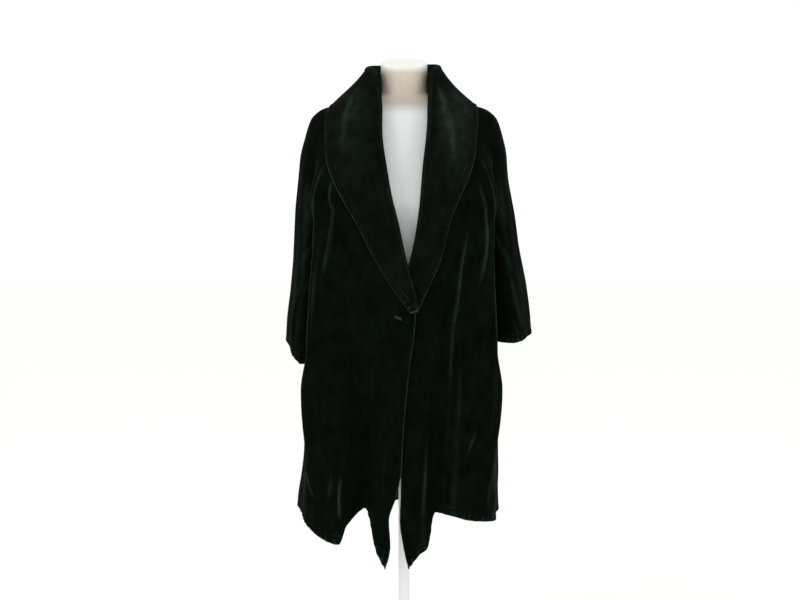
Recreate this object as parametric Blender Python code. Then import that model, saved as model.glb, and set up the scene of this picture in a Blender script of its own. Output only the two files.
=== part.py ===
"""Velvet opera coat with a shawl collar, hanging on a limbless dress form on a stand.

Metres, +Z up. The coat's front faces -Y and the wearer's left is +X.
The origin is on the floor under the pole.
A bearing is an angle about the pole in degrees: 0 is the front, +90 the wearer's left, 180 the back.
"""
from collections import namedtuple

import bmesh
import bpy
import numpy as np

# Cloth and seams
CLOTH = 0.0024
SEAM_GAP = 0.0003
COLLAR_GAP = 0.0008
NECK_GAP = 0.0018
UNDERARM_INSET = 0.0020
SEAM_REACH = 18
HEM_LEVEL = 0.480

# Levels and sides
NECK_Z = 1.430
UNDERARM_Z = 1.140
RIGHT = -1
LEFT = 1

# Corners: the bearings past which a panel's columns take up the swing of its seam
FRONT_CORNER = 56
FRONT_CORNER_MOST = 0.78
FRONT_CORNER_COLUMN = 0.70
BACK_CORNER = 130
BACK_CORNER_COLUMN = 0.20

# Grid of each panel
UPPER_LEVELS = [1.430, 1.416, 1.402, 1.384, 1.352, 1.306, 1.250, 1.195, 1.140]
CHEST_LEVELS = [1.050, 0.962]
SKIRT_ROWS = 8
FRONT_COLUMNS = 30
BACK_COLUMNS = 26
SLEEVE_COLUMNS = 22
SLEEVE_ROWS = 6
COLLAR_ROWS = 24
FALL_COLUMNS = 6
ROLL_COLUMNS = 4

# The coat's body as rings: half width, depth in front, depth behind, squareness of the oval
Ring = namedtuple("Ring", "height half_width front back squareness")
BODY_RINGS = [
    Ring(1.430, 0.070, 0.064, 0.068, 2.0),
    Ring(1.417, 0.108, 0.074, 0.086, 2.1),
    Ring(1.405, 0.152, 0.084, 0.100, 2.2),
    Ring(1.393, 0.186, 0.093, 0.110, 2.3),
    Ring(1.372, 0.207, 0.106, 0.122, 2.4),
    Ring(1.328, 0.221, 0.128, 0.136, 2.4),
    Ring(1.270, 0.234, 0.148, 0.146, 2.4),
    Ring(1.200, 0.202, 0.162, 0.152, 2.4),
    Ring(1.140, 0.168, 0.168, 0.156, 2.4),
    Ring(1.060, 0.164, 0.173, 0.160, 2.3),
    Ring(0.980, 0.163, 0.177, 0.164, 2.3),
    Ring(0.870, 0.168, 0.183, 0.172, 2.2),
    Ring(0.790, 0.198, 0.188, 0.180, 2.2),
    Ring(0.680, 0.222, 0.195, 0.190, 2.1),
    Ring(0.400, 0.232, 0.210, 0.212, 2.1),
]

# Hanging folds: the heights where each starts, is full and ends, its bearing there,
# how far out it stands, and its half widths towards the front middle and away from it
Fold = namedtuple("Fold", "top full foot bearing_top bearing_full bearing_foot out_full out_foot inner outer")
FOLDS = [
    # wearer's right front
    Fold(1.400, 1.120, 0.400, -54, -53, -58, 0.062, 0.018, 13, 8),
    Fold(1.120, 0.860, 0.600, -53, -54, -56, 0.030, 0.000, 12, 8),
    Fold(1.260, 1.080, 0.940, -41, -46, -51, 0.014, 0.000, 5, 5),
    Fold(0.980, 0.640, 0.400, -31, -28, -25, -0.026, -0.040, 5, 4.5),
    Fold(0.900, 0.560, 0.400, -37, -37, -36, 0.014, 0.022, 5, 10),
    Fold(0.900, 0.560, 0.400, -15, -15, -15, 0.008, 0.012, 6, 5),
    Fold(0.640, 0.510, 0.400, -84, -84, -84, 0.014, 0.022, 14, 16),
    # wearer's left front
    Fold(1.400, 1.120, 0.400, 54, 53, 54, 0.060, 0.006, 11, 8),
    Fold(1.120, 0.840, 0.560, 53, 53, 54, 0.026, 0.000, 10, 8),
    Fold(1.300, 1.110, 0.900, 46, 46, 43, 0.016, 0.000, 4, 4),
    Fold(1.200, 0.940, 0.400, 45, 31, 24, 0.024, 0.020, 4, 7),
    Fold(1.000, 0.700, 0.400, 27, 22, 19, -0.022, -0.030, 4, 4),
    Fold(0.800, 0.600, 0.400, 13, 13, 11, 0.006, 0.010, 5, 5),
    Fold(0.860, 0.600, 0.400, 88, 88, 88, -0.014, -0.024, 22, 20),
    Fold(1.140, 1.020, 0.930, 31, 22, 12, 0.010, 0.000, 5, 5),
    # back
    Fold(1.300, 1.060, 0.400, -131, -130, -120, 0.030, 0.028, 9, 9),
    Fold(1.000, 0.640, 0.400, -134, -133, -132, -0.016, -0.030, 7, 7),
    Fold(1.200, 0.700, 0.400, -148, -147, -145, 0.026, 0.040, 8, 8),
    Fold(1.100, 0.640, 0.400, -164, -165, -165, -0.018, -0.030, 8, 8),
    Fold(1.200, 0.640, 0.400, 180, 180, 178, 0.020, 0.032, 9, 9),
    Fold(1.100, 0.640, 0.400, 163, 163, 162, -0.018, -0.032, 8, 8),
    Fold(1.200, 0.700, 0.400, 145, 146, 147, 0.026, 0.040, 8, 8),
    Fold(1.000, 0.640, 0.400, 133, 132, 131, -0.016, -0.030, 7, 7),
    Fold(1.300, 1.060, 0.400, 131, 130, 118, 0.030, 0.030, 9, 9),
]

# Front edges: how far across each panel's free edge is at a height
Edge = namedtuple("Edge", "height right left")
FRONT_EDGES = [
    Edge(1.430, -0.0545, 0.0545),
    Edge(1.389, -0.060, 0.064),
    Edge(1.346, -0.059, 0.060),
    Edge(1.304, -0.054, 0.054),
    Edge(1.261, -0.046, 0.048),
    Edge(1.197, -0.035, 0.043),
    Edge(1.154, -0.022, 0.038),
    Edge(1.110, -0.013, 0.032),
    Edge(1.046, 0.002, 0.015),
    Edge(0.962, 0.024, -0.022),
    Edge(0.913, 0.021, -0.026),
    Edge(0.849, 0.012, -0.026),
    Edge(0.774, 0.004, -0.022),
    Edge(0.689, -0.003, -0.014),
    Edge(0.624, -0.006, -0.006),
    Edge(0.565, -0.018, -0.007),
    Edge(0.515, -0.033, -0.009),
    Edge(0.461, -0.030, -0.002),
    Edge(0.400, -0.043, 0.011),
]
LAP_DEEP = 0.0125
LAP_FLAT = 0.0065
LAP_TOP_Z = 1.060

# Hem: height at each share of the way from the front edge to the side seam, then round the back
Hem = namedtuple("Hem", "share height")
RIGHT_HEM = [
    Hem(0.000, 0.412),
    Hem(0.050, 0.430),
    Hem(0.100, 0.452),
    Hem(0.165, 0.494),
    Hem(0.220, 0.533),
    Hem(0.285, 0.500),
    Hem(0.320, 0.460),
    Hem(0.470, 0.470),
    Hem(0.580, 0.486),
    Hem(0.800, 0.508),
    Hem(1.000, 0.500),
]
LEFT_HEM = [
    Hem(0.000, 0.410),
    Hem(0.068, 0.435),
    Hem(0.095, 0.444),
    Hem(0.150, 0.453),
    Hem(0.195, 0.483),
    Hem(0.235, 0.528),
    Hem(0.300, 0.524),
    Hem(0.420, 0.508),
    Hem(0.600, 0.494),
    Hem(0.800, 0.480),
    Hem(1.000, 0.474),
]
BACK_HEM = [
    Hem(0.00, 0.500),
    Hem(0.25, 0.474),
    Hem(0.50, 0.464),
    Hem(0.75, 0.466),
    Hem(1.00, 0.474),
]

# Sleeves as ovals: distance of the centre from the middle, half sizes,
# and how far the top is open towards the body
Sleeve = namedtuple("Sleeve", "height centre_right half_right centre_left half_left centre_y half_y opening")
SLEEVE_RINGS = [
    Sleeve(1.430, 0.1800, 0.0600, 0.1800, 0.0600, 0.014, 0.096, 90),
    Sleeve(1.300, 0.1760, 0.0560, 0.1720, 0.0500, 0.014, 0.100, 86),
    Sleeve(1.250, 0.1940, 0.0440, 0.1910, 0.0410, 0.015, 0.099, 70),
    Sleeve(1.200, 0.2040, 0.0380, 0.2040, 0.0380, 0.016, 0.098, 46),
    Sleeve(1.160, 0.2060, 0.0385, 0.2080, 0.0405, 0.016, 0.098, 16),
    Sleeve(1.140, 0.2065, 0.0390, 0.2095, 0.0420, 0.016, 0.098, 0.02),
    Sleeve(1.083, 0.2095, 0.0385, 0.2150, 0.0440, 0.016, 0.098, 0.02),
    Sleeve(0.993, 0.2160, 0.0400, 0.2265, 0.0485, 0.016, 0.100, 0.02),
    Sleeve(0.925, 0.2230, 0.0410, 0.2355, 0.0495, 0.014, 0.102, 0.02),
    Sleeve(0.830, 0.2280, 0.0400, 0.2435, 0.0495, 0.012, 0.104, 0.02),
]
SLEEVE_SQUARENESS = 2.1
RAGLAN_FRONT = 58
RAGLAN_SWING = 10
RAGLAN_BACK = 124
SLEEVE_JOIN_TOP = 1.350
SLEEVE_JOIN_FOOT = 1.160
SLEEVE_RING_FOOT = 1.270
Cuff = namedtuple("Cuff", "outer drop")
CUFFS = {RIGHT: Cuff(0.880, 0.042), LEFT: Cuff(0.896, 0.012)}

# Long soft folds down a sleeve: angle from the underarm by way of the front,
# and how far out at the top and at the cuff
SleeveFold = namedtuple("SleeveFold", "angle out_top out_cuff half_width")
SLEEVE_FOLDS = [
    SleeveFold(105, 0.002, 0.006, 16),
    SleeveFold(140, -0.002, -0.005, 14),
    SleeveFold(215, 0.001, 0.006, 18),
    SleeveFold(262, -0.001, -0.006, 16),
]

# Shawl collar by stations from the button up to the centre back.
# The seam is at a height on the front edge, or at a bearing on the neck ring when that is not zero.
Station = namedtuple("Station", "seam_z seam_bearing stand roll turn edge_bearing edge_z lift puff")
PlacedStation = namedtuple("PlacedStation", ("place",) + Station._fields)
COLLAR_RIGHT = [
    Station(0.962, 0, 0.000, 0.0030, 0.0, 4.5, 0.957, 0.0060, 0.000),
    Station(1.040, 0, 0.000, 0.0040, 0.0, -6.5, 1.004, 0.0045, 0.002),
    Station(1.120, 0, 0.000, 0.0050, 0.0, -21.5, 1.078, 0.0045, 0.004),
    Station(1.200, 0, 0.000, 0.0055, 0.0, -32.5, 1.160, 0.0060, 0.005),
    Station(1.290, 0, 0.000, 0.0060, 0.0, -45.0, 1.250, 0.0060, 0.006),
    Station(1.365, 0, 0.002, 0.0065, 0.1, -62.0, 1.345, 0.0060, 0.006),
    Station(1.430, 0, 0.020, 0.0080, 1.0, -76.0, 1.401, 0.0075, 0.005),
    Station(1.430, 84, 0.042, 0.0095, 1.0, -97.0, 1.404, 0.0080, 0.005),
    Station(1.430, 116, 0.048, 0.0105, 1.0, -122.0, 1.374, 0.0080, 0.008),
    Station(1.430, 150, 0.050, 0.0110, 1.0, -151.0, 1.336, 0.0060, 0.010),
    Station(1.430, 179.85, 0.051, 0.0110, 1.0, -179.85, 1.322, 0.0060, 0.010),
]
COLLAR_LEFT = [
    Station(0.990, 0, 0.000, 0.0025, 0.0, 9.0, 0.957, 0.0060, 0.000),
    Station(1.040, 0, 0.000, 0.0035, 0.0, 17.0, 1.012, 0.0045, 0.001),
    Station(1.120, 0, 0.000, 0.0050, 0.0, 26.0, 1.078, 0.0045, 0.004),
    Station(1.200, 0, 0.000, 0.0055, 0.0, 31.5, 1.160, 0.0065, 0.005),
    Station(1.290, 0, 0.000, 0.0060, 0.0, 42.0, 1.252, 0.0060, 0.006),
    Station(1.365, 0, 0.002, 0.0065, 0.1, 57.0, 1.345, 0.0060, 0.006),
    Station(1.430, 0, 0.020, 0.0070, 1.0, 75.0, 1.402, 0.0075, 0.002),
    Station(1.430, 84, 0.048, 0.0070, 1.0, 97.0, 1.405, 0.0080, 0.000),
    Station(1.430, 116, 0.053, 0.0085, 1.0, 122.0, 1.374, 0.0080, 0.004),
    Station(1.430, 150, 0.053, 0.0105, 1.0, 151.0, 1.336, 0.0060, 0.010),
    Station(1.430, 179.85, 0.051, 0.0110, 1.0, 179.85, 1.322, 0.0060, 0.010),
]
NECK_LEAN = 0.0010

# Button
BUTTON_X = 0.006
BUTTON_Z = 0.942
BUTTON_RADIUS = 0.0115
BUTTON_THICK = 0.0065
BUTTON_SIDES = 24
BUTTON_LIFT = 0.0009
Dome = namedtuple("Dome", "width height")
BUTTON_DOME = [
    Dome(0.62, 0.00),
    Dome(0.94, 0.18),
    Dome(1.00, 0.40),
    Dome(0.90, 0.68),
    Dome(0.66, 0.88),
    Dome(0.34, 0.98),
]

# Dress form: rings as for the coat, then the neck's slope
FORM_RINGS = [
    Ring(1.500, 0.0515, 0.0500, 0.0500, 2.0),
    Ring(1.450, 0.0520, 0.0510, 0.0510, 2.0),
    Ring(1.430, 0.0550, 0.0530, 0.0540, 2.0),
    Ring(1.4144, 0.1060, 0.0580, 0.0680, 2.1),
    Ring(1.4019, 0.1490, 0.0640, 0.0830, 2.2),
    Ring(1.3879, 0.1700, 0.0700, 0.0930, 2.3),
    Ring(1.372, 0.1800, 0.0800, 0.1040, 2.3),
    Ring(1.328, 0.1820, 0.0940, 0.1150, 2.3),
    Ring(1.270, 0.1700, 0.1080, 0.1200, 2.3),
    Ring(1.190, 0.1500, 0.1200, 0.1160, 2.2),
    Ring(1.110, 0.1380, 0.1120, 0.1060, 2.1),
    Ring(1.000, 0.1220, 0.0980, 0.0940, 2.0),
    Ring(0.900, 0.1420, 0.1080, 0.1140, 2.0),
    Ring(0.820, 0.1600, 0.1160, 0.1280, 2.1),
    Ring(0.760, 0.1600, 0.1140, 0.1240, 2.1),
    Ring(0.730, 0.1480, 0.1040, 0.1120, 2.1),
    Ring(0.720, 0.1280, 0.0880, 0.0950, 2.1),
]
FORM_LEVELS = [0.720, 0.730, 0.755, 0.790, 0.830, 0.880, 0.940, 1.000, 1.060, 1.120, 1.170, 1.220,
               1.270, 1.320, 1.360, 1.385, 1.398, 1.409, 1.419, 1.430, 1.450, 1.476, 1.500]
FORM_COLUMNS = 28
NECK_SLOPE = 0.28
NECK_SLOPE_FOOT = 1.430
BUST_OUT = 0.016
BUST_BEARING = 33
BUST_WIDTH = 17
BUST_Z = 1.185
BUST_TALL = 0.060

# Stand
POLE_RADIUS = 0.0125
POLE_FOOT_Z = 0.0600
SOCKET_RADIUS = 0.022
SOCKET_TOP_RADIUS = 0.019
SOCKET_FOOT_RADIUS = 0.034
SOCKET_FLANGE = 0.004
SOCKET_SHOULDER = 0.014
BASE_RADIUS = 0.175
BASE_THICK = 0.012
BASE_EDGE = 0.003
STAND_SIDES = 48
POLE_SIDES = 24

# Colours, as linear RGB
VELVET = (0.0045, 0.0060, 0.0050)
BUTTON_VELVET = (0.0060, 0.0075, 0.0065)
FORM_WHITE = (0.74, 0.73, 0.70)
STAND_WHITE = (0.72, 0.72, 0.71)
VELVET_ROUGHNESS = 0.90
BUTTON_ROUGHNESS = 0.85
FORM_ROUGHNESS = 0.45
POLE_ROUGHNESS = 0.40
SOCKET_ROUGHNESS = 0.45
BASE_ROUGHNESS = 0.50


def smooth(rows, column, at):
    """Read a table's column at any value of its first column: a monotone cubic through the rows."""
    key = np.array([row[0] for row in rows], float)
    value = np.array([getattr(row, column) for row in rows], float)
    order = np.argsort(key)
    key = key[order]
    value = value[order]
    step = np.diff(key)
    slope = np.diff(value) / step
    tangent = np.zeros_like(value)
    same_way = slope[:-1] * slope[1:] > 0
    mean = 2 * slope[:-1] * slope[1:] / np.where(same_way, slope[:-1] + slope[1:], 1)
    tangent[1:-1] = np.where(same_way, mean, 0)
    tangent[0] = slope[0]
    tangent[-1] = slope[-1]
    at = np.clip(np.asarray(at, float), key[0], key[-1])
    i = np.clip(np.searchsorted(key, at) - 1, 0, len(step) - 1)
    t = (at - key[i]) / step[i]
    rise = value[i] + (value[i + 1] - value[i]) * t * t * (3 - 2 * t)
    return rise + step[i] * t * (1 - t) * (tangent[i] * (1 - t) - tangent[i + 1] * t)


def ease(start, end, at):
    """A soft step from 0 at start to 1 at end."""
    t = np.clip((np.asarray(at, float) - start) / (end - start), 0, 1)
    return t * t * (3 - 2 * t)


def oval_radius(rings, bearing, z):
    """Radius of the plain oval at a bearing and height."""
    turn = np.radians(bearing)
    across = np.abs(np.sin(turn))
    along = np.abs(np.cos(turn))
    depth = np.where(np.cos(turn) > 0, smooth(rings, "front", z), smooth(rings, "back", z))
    power = smooth(rings, "squareness", z)
    return ((across / smooth(rings, "half_width", z)) ** power + (along / depth) ** power) ** (-1 / power)


def angle_between(bearing, other):
    """Signed difference of two bearings, within half a turn."""
    return (np.asarray(bearing, float) - other + 180) % 360 - 180


def fold_out(fold, bearing, z):
    """How far one hanging fold moves the cloth out at a bearing and height."""
    rise = np.clip((fold.top - z) / (fold.top - fold.full), 0, 1)
    fall = np.clip((fold.full - z) / (fold.full - fold.foot), 0, 1)
    middle = (fold.bearing_top + (fold.bearing_full - fold.bearing_top) * rise
              + (fold.bearing_foot - fold.bearing_full) * fall)
    out = fold.out_full * ease(0, 1, rise) + (fold.out_foot - fold.out_full) * ease(0, 1, fall)
    away = angle_between(bearing, middle)
    width = np.where(away * np.sign(fold.bearing_full) > 0, fold.outer, fold.inner)
    return out * np.exp(-0.5 * (away / width) ** 2)


def body_radius(bearing, z):
    """Radius of the coat's body with its folds."""
    radius = oval_radius(BODY_RINGS, bearing, z)
    for fold in FOLDS:
        radius = radius + fold_out(fold, bearing, z)
    return radius


def polar(bearing, radius, z):
    """Point at a bearing and radius from the pole's axis."""
    turn = np.radians(bearing)
    return np.stack(np.broadcast_arrays(radius * np.sin(turn), -radius * np.cos(turn), z), axis=-1)


def bearing_of(point):
    return np.degrees(np.arctan2(point[..., 0], -point[..., 1]))


def radius_of(point):
    return np.hypot(point[..., 0], point[..., 1])


def edge_bearing(side, z):
    """Bearing of a front panel's free edge at a height."""
    across = smooth(FRONT_EDGES, "right" if side == RIGHT else "left", z)
    bearing = np.zeros_like(across)
    for _ in range(12):
        radius = body_radius(bearing, z)
        bearing = np.degrees(np.arcsin(np.clip(across / radius, -0.95, 0.95)))
    return bearing


def sleeve_point(side, share, z):
    """Point of a sleeve at a share of the way round from its front seam to its back seam."""
    share, z = np.broadcast_arrays(np.asarray(share, float), np.asarray(z, float))
    front_seam = RAGLAN_FRONT + RAGLAN_SWING * ease(1.380, 1.270, z)
    ring_bearing = side * (front_seam + (RAGLAN_BACK - front_seam) * share)
    ring = polar(ring_bearing, oval_radius(BODY_RINGS, ring_bearing, np.maximum(z, SLEEVE_RING_FOOT)), z)
    opening = smooth(SLEEVE_RINGS, "opening", z)
    angle = opening + (360 - 2 * opening) * share
    turn = np.radians(angle)
    name = "right" if side == RIGHT else "left"
    half_x = smooth(SLEEVE_RINGS, "half_" + name, z)
    half_y = smooth(SLEEVE_RINGS, "half_y", z)
    down = np.clip((SLEEVE_JOIN_FOOT - z) / (SLEEVE_JOIN_FOOT - CUFFS[side].outer), 0, 1)
    out = np.zeros_like(z)
    for fold in SLEEVE_FOLDS:
        amount = fold.out_top + (fold.out_cuff - fold.out_top) * down
        out = out + amount * np.exp(-0.5 * (angle_between(angle, fold.angle) / fold.half_width) ** 2)
    power = 2 / SLEEVE_SQUARENESS
    cosine = np.sign(np.cos(turn)) * np.abs(np.cos(turn)) ** power
    sine = np.sign(np.sin(turn)) * np.abs(np.sin(turn)) ** power
    x = side * (smooth(SLEEVE_RINGS, "centre_" + name, z) - (half_x + out) * cosine)
    y = smooth(SLEEVE_RINGS, "centre_y", z) - (half_y + out) * sine
    tube = np.stack([x, y, z], axis=-1)
    join = ease(SLEEVE_JOIN_TOP, SLEEVE_JOIN_FOOT, z)[..., None]
    return ring + (tube - ring) * join


def underarm_bearing(side):
    point = sleeve_point(side, 0.0, UNDERARM_Z)
    return float(abs(bearing_of(point)))


def seam_end(side, share, z):
    """Bearing and radius at which a front (share 0) or back (share 1) meets the sleeve or the side seam."""
    point = sleeve_point(side, share, np.maximum(z, UNDERARM_Z))
    bearing = np.where(z >= UNDERARM_Z, np.abs(bearing_of(point)), underarm_bearing(side))
    side_radius = body_radius(side * bearing, z)
    blend = ease(UNDERARM_Z - 0.10, UNDERARM_Z, z)
    radius = side_radius + (radius_of(point) - side_radius) * blend
    gap = np.degrees(1.4 * SEAM_GAP / radius)
    radius = radius - 1.5 * SEAM_GAP - UNDERARM_INSET * ease(1.250, 1.180, z)
    bearing = bearing - gap if share == 0 else bearing + gap
    return side * bearing, radius


def lap_in(side, bearing, z):
    """How far the left front is pressed in where the right front laps over it."""
    if side == RIGHT:
        return np.zeros(np.broadcast(bearing, z).shape)
    near = 1 - ease(8, 28, bearing - edge_bearing(RIGHT, np.minimum(z, 0.99)))
    depth = LAP_FLAT + (LAP_DEEP - LAP_FLAT) * ease(0.86, 0.94, z)
    return depth * near * ease(LAP_TOP_Z + 0.14, LAP_TOP_Z, z)


def front_radius(side, bearing, z):
    """Radius of a front panel, drawn to its seam at the side."""
    end_bearing, end_radius = seam_end(side, 0, z)
    radius = body_radius(bearing, z)
    miss = end_radius - body_radius(end_bearing, z)
    near = ease(SEAM_REACH, 0, np.abs(end_bearing) - side * np.asarray(bearing))
    return radius + miss * near - lap_in(side, bearing, z)


def front_bearing(side, column, z):
    """Bearing of a front panel's column: kept up to the corner, and past it swinging with the seam."""
    start = edge_bearing(side, z)
    end, _ = seam_end(side, 0, z)
    corner = side * np.minimum(FRONT_CORNER, side * (start + FRONT_CORNER_MOST * (end - start)))
    near = np.clip(column / FRONT_CORNER_COLUMN, 0, 1)
    far = np.clip((column - FRONT_CORNER_COLUMN) / (1 - FRONT_CORNER_COLUMN), 0, 1)
    return start + (corner - start) * near + (end - corner) * far


def front_point(side, column, z):
    bearing = front_bearing(side, column, z)
    return polar(bearing, front_radius(side, bearing, z), z)


def back_point(column, z):
    """Point of the back, from the wearer's right side seam to the left one."""
    right_end, right_radius = seam_end(RIGHT, 1, z)
    left_end, left_radius = seam_end(LEFT, 1, z)
    right_end = -right_end
    left_end = 360 - left_end
    first = np.clip(column / BACK_CORNER_COLUMN, 0, 1)
    last = np.clip((column - 1 + BACK_CORNER_COLUMN) / BACK_CORNER_COLUMN, 0, 1)
    middle = np.clip((column - BACK_CORNER_COLUMN) / (1 - 2 * BACK_CORNER_COLUMN), 0, 1)
    bearing = right_end + (BACK_CORNER - right_end) * first + (360 - 2 * BACK_CORNER) * middle
    bearing = bearing + (left_end - 360 + BACK_CORNER) * last
    radius = body_radius(-bearing, z)
    right_miss = right_radius - body_radius(-right_end, z)
    left_miss = left_radius - body_radius(-left_end, z)
    radius = radius + right_miss * ease(SEAM_REACH, 0, bearing - right_end)
    radius = radius + left_miss * ease(SEAM_REACH, 0, left_end - bearing)
    return polar(-bearing, radius, z)


def panel_heights(hem):
    """Heights of a panel's rows by column: shared levels to the button, then shares down to the hem."""
    levels = np.array(UPPER_LEVELS + CHEST_LEVELS)
    upper = np.repeat(levels[:, None], len(hem), axis=1)
    down = np.linspace(0, 1, SKIRT_ROWS + 1)[1:, None]
    lower = levels[-1] + (hem[None, :] - levels[-1]) * down
    return np.concatenate([upper, lower], axis=0)


def front_grid(side):
    column = np.linspace(0, 1, FRONT_COLUMNS + 1)
    level = np.full_like(column, HEM_LEVEL)
    bearing = front_bearing(side, column, level)
    share = (bearing - bearing[0]) / (bearing[-1] - bearing[0])
    z = panel_heights(smooth(RIGHT_HEM if side == RIGHT else LEFT_HEM, "height", share))
    return front_point(side, np.broadcast_to(column, z.shape), z)


def back_grid():
    column = np.linspace(0, 1, BACK_COLUMNS + 1)
    z = panel_heights(smooth(BACK_HEM, "height", column))
    return back_point(np.broadcast_to(column, z.shape), z)


def cuff_height(side, share):
    """Height of the cuff: it drops from the outer side to the front and stays down round to the underarm."""
    turn = 2 * np.pi * np.asarray(share)
    cosine = np.cos(turn)
    front = np.where(cosine < 0, 1 - np.abs(cosine), 1)
    back = np.where(cosine > 0, cosine ** 2, 0)
    return CUFFS[side].outer - CUFFS[side].drop * np.where(np.sin(turn) >= 0, front, back)


def sleeve_grid(side):
    share = np.linspace(0, 1, SLEEVE_COLUMNS + 1)
    upper = np.repeat(np.array(UPPER_LEVELS)[:, None], len(share), axis=1)
    down = np.linspace(0, 1, SLEEVE_ROWS + 1)[1:, None]
    lower = UNDERARM_Z + (cuff_height(side, share)[None, :] - UNDERARM_Z) * down
    z = np.concatenate([upper, lower], axis=0)
    return sleeve_point(side, np.broadcast_to(share, z.shape), z)


def upper_radius(side, bearing, z):
    """Radius of whatever cloth lies under the collar."""
    in_front = np.abs(bearing) < 70
    front = front_radius(side, np.where(in_front, bearing, side * 30.0), z)
    ring = oval_radius(BODY_RINGS, bearing, z)
    return np.where(in_front, np.maximum(front, np.where(np.abs(bearing) > 55, ring, 0)), ring)


def unit(vectors):
    return vectors / np.linalg.norm(vectors, axis=-1, keepdims=True)


def along_column(grid, column, z):
    """Points on one column of a panel's grid at given heights, on its straight pieces."""
    line = grid[::-1, column]
    return np.stack([np.interp(z, line[:, 2], line[:, 0]), np.interp(z, line[:, 2], line[:, 1]), z], axis=-1)


def edge_frame(side, z):
    """A front panel's free edge at given heights, the way across the panel from it, and the way out of it."""
    step = 0.004
    grid = front_grid(side)
    edge = along_column(grid, 0, z)
    across = along_column(grid, 1, z) - edge
    low = np.clip(z - step, None, NECK_Z - 2 * step)
    along = unit(along_column(grid, 0, low + 2 * step) - along_column(grid, 0, low))
    facing = unit(-side * np.cross(along, across))
    return edge, unit(-side * np.cross(facing, along)), facing


def collar_grid(side):
    """Collar half: rows along the seam, columns from the seam over the roll to the edge."""
    stations = COLLAR_RIGHT if side == RIGHT else COLLAR_LEFT
    numbered = [PlacedStation(place, *row) for place, row in enumerate(stations)]
    place = np.linspace(0, len(stations) - 1, COLLAR_ROWS + 1)
    seam_z = smooth(numbered, "seam_z", place)
    neck_share = smooth(numbered, "turn", place)
    on_edge, sideways, facing = edge_frame(side, seam_z)
    on_neck = side * smooth(numbered, "seam_bearing", place)
    last_edge = max(i for i, row in enumerate(stations) if row.seam_bearing == 0)
    join = ease(last_edge, last_edge + 1, place)
    seam_bearing = bearing_of(on_edge) + (on_neck - bearing_of(on_edge)) * join
    ring_radius = upper_radius(side, seam_bearing, seam_z)
    seam_radius = radius_of(on_edge) + (ring_radius - radius_of(on_edge)) * ease(0, 0.2, join)
    radial = polar(seam_bearing, 1.0, 0.0)
    down = np.broadcast_to(np.array([0.0, 0.0, -1.0]), radial.shape)
    back_along = unit(sideways + (down - sideways) * neck_share[:, None])
    outward = unit(facing + (radial - facing) * neck_share[:, None])
    stand = smooth(numbered, "stand", place)[:, None]
    roll = smooth(numbered, "roll", place)[:, None]
    lean = NECK_LEAN * neck_share[:, None]
    seam = polar(seam_bearing, seam_radius, seam_z) - outward * (CLOTH / 2)
    gap = COLLAR_GAP + NECK_GAP * ease(1.340, 1.400, seam_z)[:, None]
    start = seam - back_along * gap
    fold_line = seam - back_along * (stand + gap + CLOTH) + outward * lean
    columns = [start]
    for k in range(ROLL_COLUMNS + 1):
        angle = np.pi * k / ROLL_COLUMNS
        columns.append(fold_line - back_along * roll * np.sin(angle) + outward * roll * (1 - np.cos(angle)))
    top = columns[-1]
    edge_bearing_here = smooth(numbered, "edge_bearing", place)
    edge_z = smooth(numbered, "edge_z", place)
    lift = smooth(numbered, "lift", place)
    puff = smooth(numbered, "puff", place)
    edge = polar(edge_bearing_here, upper_radius(side, edge_bearing_here, edge_z) + lift, edge_z)
    reach = np.linalg.norm(edge - top, axis=-1)[:, None]
    for k in range(1, FALL_COLUMNS + 1):
        t = k / FALL_COLUMNS
        bow = back_along * reach * 0.35 * t * (1 - t) ** 2
        point = top + (edge - top) * t + bow + outward * (puff[:, None] * np.sin(np.pi * t))
        bearing = bearing_of(point)
        least = upper_radius(side, bearing, np.minimum(point[:, 2], NECK_Z)) + lift
        radius = np.maximum(radius_of(point), np.where(point[:, 2] < NECK_Z, least, 0))
        columns.append(polar(bearing, radius, point[:, 2]))
    return np.stack(columns, axis=1)


def grid_normals(grid, flip):
    across = np.gradient(grid, axis=1)
    down = np.gradient(grid, axis=0)
    normal = unit(np.cross(down, across))
    return -normal if flip else normal


def material(name, colour, roughness):
    made = bpy.data.materials.new(name)
    made.use_nodes = True
    shader = made.node_tree.nodes["Principled BSDF"]
    shader.inputs["Base Color"].default_value = (*colour, 1.0)
    shader.inputs["Roughness"].default_value = roughness
    return made


def add_object(name, points, faces, made_of):
    mesh = bpy.data.meshes.new(name)
    mesh.from_pydata([tuple(p) for p in points], [], faces)
    mesh.validate()
    tidy = bmesh.new()
    tidy.from_mesh(mesh)
    bmesh.ops.recalc_face_normals(tidy, faces=tidy.faces)
    tidy.to_mesh(mesh)
    tidy.free()
    mesh.materials.append(made_of)
    made = bpy.data.objects.new(name, mesh)
    bpy.context.scene.collection.objects.link(made)
    return made


def cloth_panel(name, grid, flip=False, centred=False):
    """A wall of cloth: the grid is its outer face, or its middle when centred."""
    rows, columns = grid.shape[:2]
    normal = grid_normals(grid, flip)
    outer = grid + normal * (CLOTH / 2 if centred else 0)
    inner = outer - normal * CLOTH
    points = np.concatenate([outer.reshape(-1, 3), inner.reshape(-1, 3)])
    count = rows * columns
    faces = []
    for r in range(rows - 1):
        for c in range(columns - 1):
            a = r * columns + c
            b = a + 1
            d = a + columns
            e = d + 1
            faces += [(a, b, e), (a, e, d)]
            faces += [(a + count, e + count, b + count), (a + count, d + count, e + count)]
    rim = [c for c in range(columns)]
    rim += [r * columns + columns - 1 for r in range(1, rows)]
    rim += [(rows - 1) * columns + c for c in range(columns - 2, -1, -1)]
    rim += [r * columns for r in range(rows - 2, 0, -1)]
    for i, a in enumerate(rim):
        b = rim[(i + 1) % len(rim)]
        faces += [(b, a, a + count), (b, a + count, b + count)]
    return add_object(name, points, faces, material(name + "_velvet", VELVET, VELVET_ROUGHNESS))


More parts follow.
